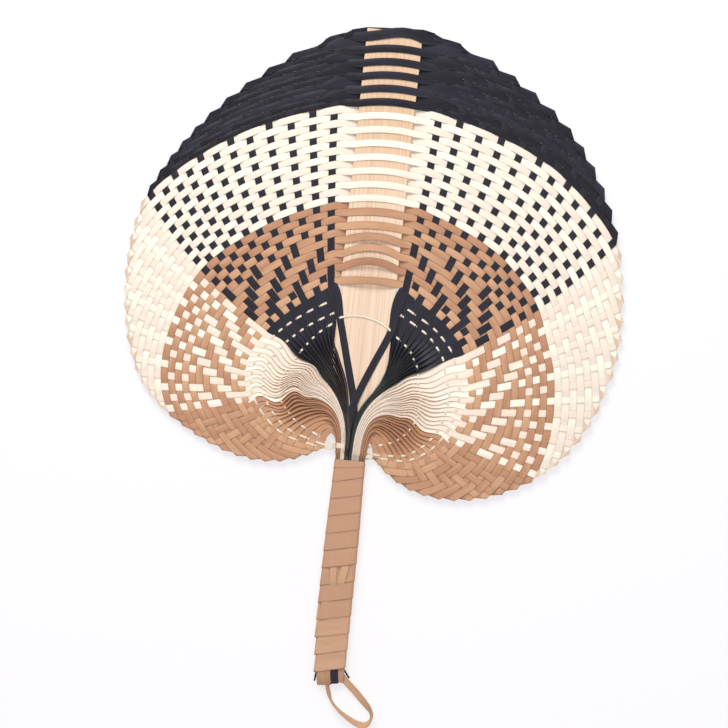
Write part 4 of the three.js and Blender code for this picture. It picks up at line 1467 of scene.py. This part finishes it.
@dataclass
class BindingStrands:
    """Three thin strands threaded through the ribs between the blade and the bundle.

    Attributes:
        width: Width of a strand.
        thickness: Its thickness.
        crown: How far its middle stands up.
        fine: Sections from one corner of its route to the next.
        first_tone: Shade of the first strand.
        tone_step: Change of shade from one to the next.
        grain_step: How far apart their grain begins.
        shares: Where each strand crosses the ribs, from the inner weft towards the bundle.
        first_shares: The same at the first rib.
        left_shares: Where each crosses the ribs on the left.
        left_first_shares: The same at the first rib on the left.
        spread_ribs: Ribs over which the strands part.
        lift: How far a strand stands off the rib that it crosses.
        slat_rise: How far a strand arches over the slat.
        slat_level: How far it stands off the slat's middle.
        slat_spots: Corners of its route there.
        ends: Where each strand meets the bundle beside the mouth.
        lead: Corners before that, with how far they lie below it.
        left_ends: Where each strand leaves the bundle on the left, where they are laid over it.
        tie_spots: Corners over the bundle.
        tie_low: Height of the lowest strand over the bundle.
        tie_step: Height from one to the next.
        tie_level: How far they stand off the bundle's middle.
    """

    width: float = 1.25
    thickness: float = 0.3
    crown: float = 0.1
    fine: int = 4
    first_tone: float = 0.3
    tone_step: float = 0.2
    grain_step: float = 31.0
    shares: tuple[float, ...] = (0.085, 0.155, 0.34)
    first_shares: tuple[float, ...] = (0.064, 0.1, 0.207)
    left_shares: tuple[float, ...] = (0.076, 0.16, 0.28)
    left_first_shares: tuple[float, ...] = (0.062, 0.115, 0.16)
    spread_ribs: float = 16.0
    lift: float = 0.3
    slat_rise: float = 5.0
    slat_level: float = 1.35
    slat_spots: tuple[float, ...] = (-15.0, -11.0, -6.5, 0.0, 6.5, 11.0, 15.0)
    ends: tuple[tuple[float, float], ...] = ((12.6, 2.2), (12.2, 5.2), (11.6, 9.2))
    lead: tuple[tuple[float, float], ...] = ((6.5, 1.0), (9.2, 0.6))
    left_ends: tuple[tuple[float, float], ...] = ((12.6, 5.6), (12.4, 7.0), (12.0, 8.5))
    tie_spots: tuple[float, ...] = (-4.8, -8.9)
    tie_low: float = 7.2
    tie_step: float = 1.0
    tie_level: float = 2.5

    def share_at(self, half: Half, strand: int, rib: float) -> float:
        """Where a strand crosses a rib, as a share of the rib's way along the throat."""
        first, last = self.first_shares, self.shares
        if half.side < 0:
            first, last = self.left_first_shares, self.left_shares
        return mix(first[strand], last[strand], ease(0.0, self.spread_ribs, rib))

    def crossings(self, half: Half, strand: int, weave: LeafWeave) -> list[Vector]:
        """Points of a strand over and under the ribs of one half, from the grip to the slat."""
        if half.side > 0:
            swing, height = self.ends[strand]
            points = [place(x, height - below) for x, below in self.lead]
        else:
            swing, height = self.left_ends[strand]
            tied = self.tie_low + self.tie_step * strand
            points = [place(x, tied, self.tie_level) for x in self.tie_spots]
        points.append(place(half.side * swing, height))
        for rib in range(LAST, -1, -1):
            share = self.share_at(half, strand, rib)
            where = half.throat(rib, share)
            way = half.throat_way(rib, share)
            out = half.outwards(way)
            where = where + out * half.sway(rib, share)
            room = (half.throat(rib + 0.5, share) - half.throat(rib - 0.5, share)).dot(out)
            height = self.lift + weave.edge_height(rib, room, share)
            points.append(where + UP * (height if (rib + strand) % 2 == 0 else -height))
        return points

    def route(self, strand: int, weave: LeafWeave, front: bool) -> list[Vector]:
        """Corners of a strand from the left end to the right end."""
        left = self.crossings(LEFT, strand, weave)
        right = self.crossings(RIGHT, strand, weave)
        level = self.slat_level if front else -self.slat_level
        slat = []
        for x in self.slat_spots:
            share = x / LEFT.SLAT_EDGE
            side_y = mix(left[-1].y, right[-1].y, (share + 1) / 2)
            slat.append(place(x, side_y + self.slat_rise * (1 - share * share), level))
        return [*left, *slat, *right[::-1]]

    def stations(self, corners: list[Vector]) -> list[Station]:
        """Smooth sections through the corners."""
        points = []
        for before, after in zip(corners, corners[1:]):
            for j in range(self.fine):
                share = j / self.fine
                point = before.lerp(after, share)
                point.z = mix(before.z, after.z, ease(0.0, 1.0, share))
                points.append(point)
        points.append(corners[-1])
        stations = []
        for k, point in enumerate(points):
            way = points[min(k + 1, len(points) - 1)] - points[max(k - 1, 0)]
            way.z = 0.0
            way.normalize()
            across = place(way.y, -way.x)
            stations.append(Station(point, across, -UP, self.width / 2, -self.crown))
        return stations

    def build(self, weave: LeafWeave) -> list[bpy.types.Object]:
        """Makes the strands and dresses them.

        Args:
            weave: The strips that the strands run through.

        Returns:
            The strands.
        """
        made = []
        for k in range(len(self.shares)):
            corners = self.route(k, weave, k == len(self.shares) - 1)
            tone = self.first_tone + self.tone_step * k
            ribbon = Ribbon(self.stations(corners), self.thickness, tone, self.grain_step * k)
            piece = ribbon.build(f"binding_{k + 1}", STRAND_FIBRE)
            made.append(dress(piece, "binding", f"binding_strand_{k + 1}"))
        return made


@dataclass(frozen=True)
class StripEnd:
    """A short flat strip that shows on the front of the grip.

    Attributes:
        name: Name of the piece.
        width: Its width.
        finish: Its finish.
        tone: Its shade among its kind.
        slot: Its material slot.
        node: Solid that it stands for.
        route: Points of its middle line from the top, the last number counted from the grip's front.
    """

    name: str
    width: float
    finish: LeafFinish
    tone: float
    slot: str
    node: str
    route: tuple[tuple[float, float, float], ...]


STRIP_ENDS = (
    StripEnd("tail_left", 4.0, LOOP_LEAF, 0.2, "loop_leaf", "loop_tail_left", (
        (-3.2, -61.5, -0.1), (-3.2, -64.0, 0.3), (-3.1, -67.0, 0.8),
        (-2.9, -73.0, 0.75), (-2.7, -75.6, 0.5), (-2.6, -77.6, -0.5),
    )),
    StripEnd("tail_right", 4.6, LOOP_LEAF, 0.5, "loop_leaf", "loop_tail_right", (
        (4.0, -60.5, -0.1), (3.8, -63.0, 0.3), (3.5, -66.5, 0.8),
        (2.5, -72.0, 0.75), (2.0, -74.8, 0.5), (1.8, -76.8, -0.5),
    )),
    StripEnd("wrap_tuck", 8.4, WRAP_LEAF, 0.3, "wrap_leaf", "wrap_end_tuck", (
        (-2.8, -122.0, -0.4), (-2.8, -127.0, -0.3), (-2.5, -132.0, -0.5), (-1.7, -136.0, -1.2),
        (-1.5, -137.6, -2.4), (-1.6, -137.0, -3.6), (-2.2, -133.0, -4.4),
    )),
    StripEnd("black_tail", 5.2, BLACK_LEAF, 0.7, "black_leaf", "black_end", (
        (3.3, -121.0, -1.2), (3.4, -127.0, -1.0), (3.8, -131.0, -1.1), (4.6, -136.2, -1.6),
    )),
    StripEnd("tan_tail", 4.6, WRAP_LEAF, 0.1, "wrap_leaf", "tan_end", (
        (7.8, -121.0, -1.5), (7.7, -127.0, -1.3), (7.6, -131.0, -1.4), (7.2, -135.2, -1.9),
    )),
)


@dataclass
class Grip:
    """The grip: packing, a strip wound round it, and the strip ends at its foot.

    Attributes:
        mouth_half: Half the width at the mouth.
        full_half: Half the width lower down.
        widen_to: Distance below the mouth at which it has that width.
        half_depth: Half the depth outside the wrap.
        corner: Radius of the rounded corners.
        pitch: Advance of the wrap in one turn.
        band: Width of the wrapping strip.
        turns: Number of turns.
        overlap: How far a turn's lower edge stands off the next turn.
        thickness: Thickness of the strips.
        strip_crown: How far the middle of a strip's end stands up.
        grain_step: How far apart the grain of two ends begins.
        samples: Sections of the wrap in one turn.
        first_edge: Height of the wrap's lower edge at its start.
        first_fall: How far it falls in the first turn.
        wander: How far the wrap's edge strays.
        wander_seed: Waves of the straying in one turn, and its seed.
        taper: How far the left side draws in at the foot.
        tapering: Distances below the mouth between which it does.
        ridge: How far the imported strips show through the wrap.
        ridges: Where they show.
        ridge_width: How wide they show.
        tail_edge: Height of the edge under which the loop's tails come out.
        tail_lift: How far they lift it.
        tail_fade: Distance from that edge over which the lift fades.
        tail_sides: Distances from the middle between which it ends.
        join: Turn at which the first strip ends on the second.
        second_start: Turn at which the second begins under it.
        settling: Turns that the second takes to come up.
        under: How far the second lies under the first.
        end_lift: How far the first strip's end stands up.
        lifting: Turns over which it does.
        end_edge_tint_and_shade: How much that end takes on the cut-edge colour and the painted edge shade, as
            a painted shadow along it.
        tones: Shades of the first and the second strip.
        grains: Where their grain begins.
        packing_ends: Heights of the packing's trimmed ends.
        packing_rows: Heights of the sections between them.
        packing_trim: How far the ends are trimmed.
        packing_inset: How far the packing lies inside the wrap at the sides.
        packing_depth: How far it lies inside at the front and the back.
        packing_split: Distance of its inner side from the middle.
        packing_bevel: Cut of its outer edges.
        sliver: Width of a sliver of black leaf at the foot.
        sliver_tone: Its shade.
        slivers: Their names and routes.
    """

    mouth_half: float = 9.3
    full_half: float = 10.2
    widen_to: float = 55.0
    half_depth: float = 2.72
    corner: float = 1.9
    pitch: float = 10.55
    band: float = 11.2
    turns: float = 12.62
    overlap: float = 0.42
    thickness: float = 0.3
    strip_crown: float = 0.06
    grain_step: float = 90.0
    samples: int = 72
    first_edge: float = -2.5
    first_fall: float = 6.5
    wander: float = 0.35
    wander_seed: tuple[float, float] = (2.3, 4.1)
    taper: float = 1.9
    tapering: tuple[float, float] = (98.0, 130.0)
    ridge: float = 0.2
    ridges: tuple[float, ...] = (-3.2, 0.8, 4.2)
    ridge_width: float = 1.3
    tail_edge: float = -65.0
    tail_lift: float = 0.8
    tail_fade: float = 3.0
    tail_sides: tuple[float, float] = (5.5, 8.5)
    join: float = 9.45
    second_start: float = 9.1
    settling: float = 0.06
    under: float = 0.36
    end_lift: float = 0.5
    lifting: float = 0.2
    end_edge_tint_and_shade: float = 1.0
    tones: tuple[float, float] = (0.25, 0.75)
    grains: tuple[float, float] = (12.0, 900.0)
    packing_ends: tuple[float, float] = (-126.5, -15.5)
    packing_rows: tuple[float, ...] = (-126.0, -80.0, -20.0, -16.0)
    packing_trim: float = 0.4
    packing_inset: float = 1.2
    packing_depth: float = 0.9
    packing_split: float = 1.0
    packing_bevel: float = 0.6
    sliver: float = 1.1
    sliver_tone: float = 0.9
    slivers: tuple[tuple[str, tuple[tuple[float, float, float], ...]], ...] = (
        ("sliver_left", ((-6.4, -123.0, -0.4), (-6.9, -129.0, -0.3), (-7.6, -136.0, -0.5))),
        ("sliver_right", (
            (8.6, -123.0, -0.6), (9.6, -127.3, -0.5), (11.4, -129.8, -0.5), (13.3, -132.2, -0.6),
        )),
    )

    def half_width(self, y: float) -> float:
        """Half the grip's width at a height."""
        return mix(self.mouth_half, self.full_half, ease(0.0, self.widen_to, -y))

    def outline(self, share: float, half: float) -> tuple[Vector, Vector]:
        """Point of the grip's cross section and the direction out of it.

        Args:
            share: Share of the way round, from the right edge up over the front to the left.
            half: Half the width.

        Returns:
            The point and the direction, both level.
        """
        bend = self.corner
        depth = self.half_depth
        runs = (2 * (depth - bend), 2 * (half - bend))
        arc = math.pi * bend / 2
        left = (share % 1.0) * (2 * sum(runs) + 4 * arc)
        centres = ((half - bend, depth - bend), (bend - half, depth - bend), (bend - half, bend - depth),
                   (half - bend, bend - depth))
        for k in range(4):
            straight = runs[k % 2]
            turn = k * math.pi / 2
            out = place(math.cos(turn), 0.0, math.sin(turn))
            along = place(-math.sin(turn), 0.0, math.cos(turn))
            x, z = centres[k]
            if left < straight:
                return place(x, 0.0, z) + out * bend + along * (left - straight), out
            left -= straight
            if left < arc:
                angle = turn + left / bend
                out = place(math.cos(angle), 0.0, math.sin(angle))
                return place(x, 0.0, z) + out * bend, out
            left -= arc
        return self.outline(0.0, half)

    def lower_edge(self, turn: float) -> float:
        """Height of the wrap's lower edge after a number of turns."""
        if turn < 1.0:
            return self.first_edge - self.first_fall * turn
        return self.first_edge - self.first_fall - self.pitch * (turn - 1.0)

    def foot_taper(self, y: float) -> float:
        """How far the left side draws in towards the foot, at a height."""
        return self.taper * ease(*self.tapering, -y)

    def wrap_station(self, turn: float, inset: float) -> Station:
        """One section of the wound strip.

        Args:
            turn: Turns from the mouth.
            inset: How far it lies below the outside of the wrap.

        Returns:
            The section.
        """
        rate, seed = self.wander_seed
        low = self.lower_edge(turn) + self.wander * noise.noise(Vector((turn * rate, seed, 0.0)))
        high = min(0.0, low + self.band)
        y = (low + high) / 2
        drawn = self.foot_taper(y) / 2
        point, out = self.outline(turn, self.half_width(y) - drawn)
        front = max(out.z, 0.0)
        lifted = self.tail_lift * front * math.exp(-((low - self.tail_edge) / self.tail_fade) ** 2)
        lifted *= 1 - ease(*self.tail_sides, abs(point.x))
        lean = (self.overlap + lifted) / (high - low)
        across = (place(0.0, -1.0) + out * lean).normalized()
        normal = (out + place(0.0, lean)).normalized()
        bumps = (self.ridge * math.exp(-((point.x - x) / self.ridge_width) ** 2) for x in self.ridges)
        ridge = front * sum(bumps)
        middle = point + place(drawn, y) + out * (ridge + lifted / 2 - inset)
        return Station(middle, across, normal, (high - low) / 2)

    def wrap(self) -> list[bpy.types.Object]:
        """The two strips wound down the grip, one after the other, each turn lapping over the next."""
        step = 1 / self.samples
        upper = []
        for k in range(int(self.join * self.samples) + 1):
            turn = k * step
            raised = self.end_lift * ease(self.join - self.lifting, self.join, turn)
            upper.append(self.wrap_station(turn, -raised))
        # Painted shadow along the first strip's cut end, in the cut-edge colour and the painted edge shade.
        upper[-1].edge_tint_and_shade = self.end_edge_tint_and_shade
        lower = []
        for k in range(int(self.second_start * self.samples), int(self.turns * self.samples) + 1):
            turn = k * step
            sunk = 1 - ease(self.join, self.join + self.settling, turn)
            lower.append(self.wrap_station(turn, self.under * sunk))
        first = Ribbon(upper, self.thickness, self.tones[0], self.grains[0]).build("wrap", WRAP_LEAF)
        second = Ribbon(lower, self.thickness, self.tones[1], self.grains[1]).build("wrap_lower", WRAP_LEAF)
        carry(second)
        return [dress(first, "wrap_leaf", "grip_wrap"), second]

    def strip(self, name: str, points: list[Vector], width: float, finish: LeafFinish,
              tone: float) -> bpy.types.Object:
        """A flat strip seen from the front, through points from its top to its foot.

        Args:
            name: Name of the piece.
            points: Points of its middle line.
            width: Its width.
            finish: Its finish.
            tone: Its shade.

        Returns:
            The new object.
        """
        stations = []
        for k, point in enumerate(points):
            way = (points[min(k + 1, len(points) - 1)] - points[max(k - 1, 0)]).normalized()
            across = place(way.y, -way.x).normalized()
            normal = way.cross(across).normalized()
            stations.append(Station(point, across, normal, width / 2, -self.strip_crown))
        return Ribbon(stations, self.thickness, tone, self.grain_step * len(name)).build(name, finish)

    def packing(self) -> list[bpy.types.Object]:
        """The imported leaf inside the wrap, in two halves."""
        made = []
        for side, word in ((-1, "left"), (1, "right")):
            rings = []
            for y in (self.packing_ends[0], *self.packing_rows, self.packing_ends[1]):
                trim = self.packing_trim if y in self.packing_ends else 0.0
                drawn = self.foot_taper(y) if side < 0 else 0.0
                half = self.half_width(y) - self.packing_inset - trim - drawn
                deep = self.half_depth - self.packing_depth - trim
                near = self.packing_split
                cut = self.packing_bevel
                spots = [(near, -deep), (near, deep), (half - cut, deep), (half, deep - cut),
                         (half, cut - deep), (half - cut, -deep)]
                ring = [place(side * x, y, z) for x, z in spots]
                rings.append(ring if side > 0 else ring[::-1])
            piece = closed_loft(f"packing_{word}", rings, WRAP_LEAF.material())
            made.append(dress(piece, "wrap_leaf", f"grip_core_{word}"))
        return made

    def ends(self) -> list[bpy.types.Object]:
        """The loop's two tails, the folded end of the wrap and the strip ends at the foot."""
        made = []
        for end in STRIP_ENDS:
            points = [place(x, y, self.half_depth + z) for x, y, z in end.route]
            piece = self.strip(end.name, points, end.width, end.finish, end.tone)
            made.append(dress(piece, end.slot, end.node))
        for name, route in self.slivers:
            points = [Vector(point) for point in route]
            piece = self.strip(name, points, self.sliver, BLACK_LEAF, self.sliver_tone)
            made.append(carry(piece))
        return made

    def build(self) -> list[bpy.types.Object]:
        """Makes every piece of the grip and dresses it."""
        return [*self.wrap(), *self.packing(), *self.ends()]


@dataclass
class HangingLoop:
    """The loop of leaf strip at the foot of the grip.

    Attributes:
        width: Width of the strip.
        thickness: Its thickness.
        crown: How far its middle stands up.
        tone: Its shade.
        grain: Where its grain begins.
        bend_from: Height at which the loop begins to swing.
        bend_to: Height from which all of it swings.
        route: Middle line and the width that shows from the front, from the left end round to the right end.
        fine: Sections from one point of the route to the next.
    """

    width: float = 4.3
    thickness: float = 0.28
    crown: float = 0.05
    tone: float = 0.35
    grain: float = 55.0
    bend_from: float = -134.5
    bend_to: float = -139.5
    route: tuple[tuple[float, float, float], ...] = (
        (-0.6, -131.0, 2.2), (0.3, -137.0, 2.1), (1.8, -142.0, 2.2), (4.0, -147.0, 0.9),
        (7.5, -151.0, 1.0), (12.0, -154.5, 1.7), (18.0, -158.0, 2.6), (23.0, -159.8, 3.3),
        (26.6, -159.2, 2.7), (28.8, -156.4, 1.2), (28.9, -152.0, 2.2), (26.0, -148.0, 3.7),
        (22.0, -144.0, 4.1), (18.0, -140.0, 4.2), (13.6, -136.2, 4.2), (9.4, -132.2, 4.2), (6.9, -129.6, 4.2),
    )
    fine: int = 6

    def stations(self) -> list[Station]:
        """Smooth sections round the loop."""
        points = [place(x, y) for x, y, _ in self.route]
        widths = [seen for _, _, seen in self.route]
        last = len(points) - 1
        stations = []
        for k in range(last):
            a, b, c, d = (points[min(max(k + j, 0), last)] for j in (-1, 0, 1, 2))
            for j in range(self.fine + (1 if k == last - 1 else 0)):
                s = j / self.fine
                point = spline(a, b, c, d, s)
                way = spline_way(a, b, c, d, s)
                seen = mix(widths[k], widths[k + 1], ease(0.0, 1.0, s))
                tilt = math.acos(min(seen / self.width, 1.0))
                level = place(way.y, -way.x)
                across = level * math.cos(tilt) + UP * math.sin(tilt)
                normal = way.cross(across)
                stations.append(Station(point, across, normal, self.width / 2, self.crown))
        return stations

    def build(self) -> list[bpy.types.Object]:
        """Makes the loop in place of its solids and bakes its placement into its points."""
        piece = Ribbon(self.stations(), self.thickness, self.tone, self.grain).build("loop", LOOP_LEAF)
        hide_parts("hanging_loop", "loop_root")
        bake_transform(piece)
        return [piece]


def report(pieces: list[bpy.types.Object]) -> None:
    """Logs each piece with its number of points."""
    for piece in pieces:
        LOG.info("%s: %d points", piece.name, len(piece.data.vertices))


@dataclass(frozen=True)
class Lamp:
    """A soft square lamp that looks at the middle of the fan.

    Attributes:
        name: Name of the lamp.
        where: Its place in metres of the row frame.
        size: Length of its side in metres.
        power: Its power in watts.
    """

    name: str
    where: tuple[float, float, float]
    size: float
    power: float


@dataclass
class Studio:
    """Floor, lights and camera of the photograph.

    Attributes:
        view_width: Width of the view at the blade, in millimetres.
        middle_x: Middle of the view in the fan's frame.
        middle_y: Middle of the view in the fan's frame.
        lean: Lean of the fan to the right in the view, in degrees.
        lens: Focal length.
        sensor: Width of the picture behind the lens.
        floor_size: Length of the floor's side in metres.
        floor_gap: How far it lies below the fan, in metres.
        floor_colour: Its colour in the light.
        floor_white: Its own white, which makes the pale background.
        floor_glow: Strength of that white.
        floor_share: Share of it in the floor that shows.
        room_light: Strength of the light from all round.
        lamps: The lamps.
    """

    view_width: float = 443.35
    middle_x: float = 2.3
    middle_y: float = 59.1
    lean: float = 6.0
    lens: float = 85.0
    sensor: float = 36.0
    floor_size: float = 6.0
    floor_gap: float = 0.0004
    floor_colour: tuple[float, float, float, float] = tint_of(247, 246, 247)
    floor_white: tuple[float, float, float, float] = tint_of(252, 250, 253)
    floor_glow: float = 1.08
    floor_share: float = 0.62
    room_light: float = 0.44
    lamps: tuple[Lamp, ...] = (
        Lamp("window", (-0.35, 1.0, 0.85), 0.6, 11.0),
        Lamp("ceiling", (0.3, -0.1, 1.3), 1.0, 4.2),
    )

    def camera(self) -> None:
        """Sets the camera straight above the fan."""
        data = bpy.data.cameras.new("photo_camera")
        data.lens = self.lens
        data.sensor_width = self.sensor
        made = link_new("photo_camera", data)
        distance = self.view_width * MM * self.lens / self.sensor
        made.location = to_row(place(self.middle_x, self.middle_y)) + UP * distance
        made.rotation_euler = (0.0, 0.0, math.radians(self.lean))
        bpy.context.scene.camera = made

    def floor(self) -> None:
        """Lays the pale floor."""
        half = self.floor_size / 2
        mesh = bpy.data.meshes.new("floor")
        corners = [(-half, -half), (half, -half), (half, half), (-half, half)]
        mesh.from_pydata([(x, y, -self.floor_gap) for x, y in corners], [], [(0, 1, 2, 3)])
        board = NodeBoard("white_floor")
        plain = board.add("ShaderNodeBsdfDiffuse")
        plain.inputs["Color"].default_value = self.floor_colour
        glow = board.add("ShaderNodeEmission")
        glow.inputs["Color"].default_value = self.floor_white
        glow.inputs["Strength"].default_value = self.floor_glow
        share = board.math("MULTIPLY", background_rays(board.tree), self.floor_share)
        both = mix_shaders(board.tree, share, plain.outputs[0], glow.outputs[0])
        board.link(both, board.out.inputs["Surface"])
        mesh.materials.append(board.material)
        link_new("floor", mesh)

    def hang(self, lamp: Lamp) -> None:
        """Hangs a lamp and turns it to the fan."""
        data = bpy.data.lights.new(lamp.name, "AREA")
        data.size = lamp.size
        data.energy = lamp.power
        made = link_new(lamp.name, data)
        made.location = lamp.where
        target = to_row(place(self.middle_x, self.middle_y))
        made.rotation_euler = (target - Vector(lamp.where)).to_track_quat("-Z", "Y").to_euler()

    def light(self) -> None:
        """Lights the fan from all round, a little more from above its tip."""
        world = bpy.data.worlds.new("soft_room")
        world.use_nodes = True
        tree = world.node_tree
        room = tree.nodes["Background"]
        white = tree.nodes.new("ShaderNodeBackground")
        for background, strength in ((room, self.room_light), (white, 1.0)):
            background.inputs["Color"].default_value = (1.0, 1.0, 1.0, 1.0)
            background.inputs["Strength"].default_value = strength
        both = mix_shaders(tree, background_rays(tree), room.outputs[0], white.outputs[0])
        tree.links.new(both, tree.nodes["World Output"].inputs["Surface"])
        bpy.context.scene.world = world
        for lamp in self.lamps:
            self.hang(lamp)

    def build(self) -> None:
        """Sets up the camera, the floor and the lights."""
        bpy.context.scene.view_settings.view_transform = "Standard"
        self.camera()
        self.floor()
        self.light()


def main() -> None:
    """Builds the fan and its studio in order."""
    logging.basicConfig(level=logging.INFO)
    Studio().build()
    weave = LeafWeave()
    report(weave.build())
    report(Slat().build())
    report(BindingStrands().build(weave))
    report(Grip().build())
    report(HangingLoop().build())


if __name__ == "__main__":
    main()
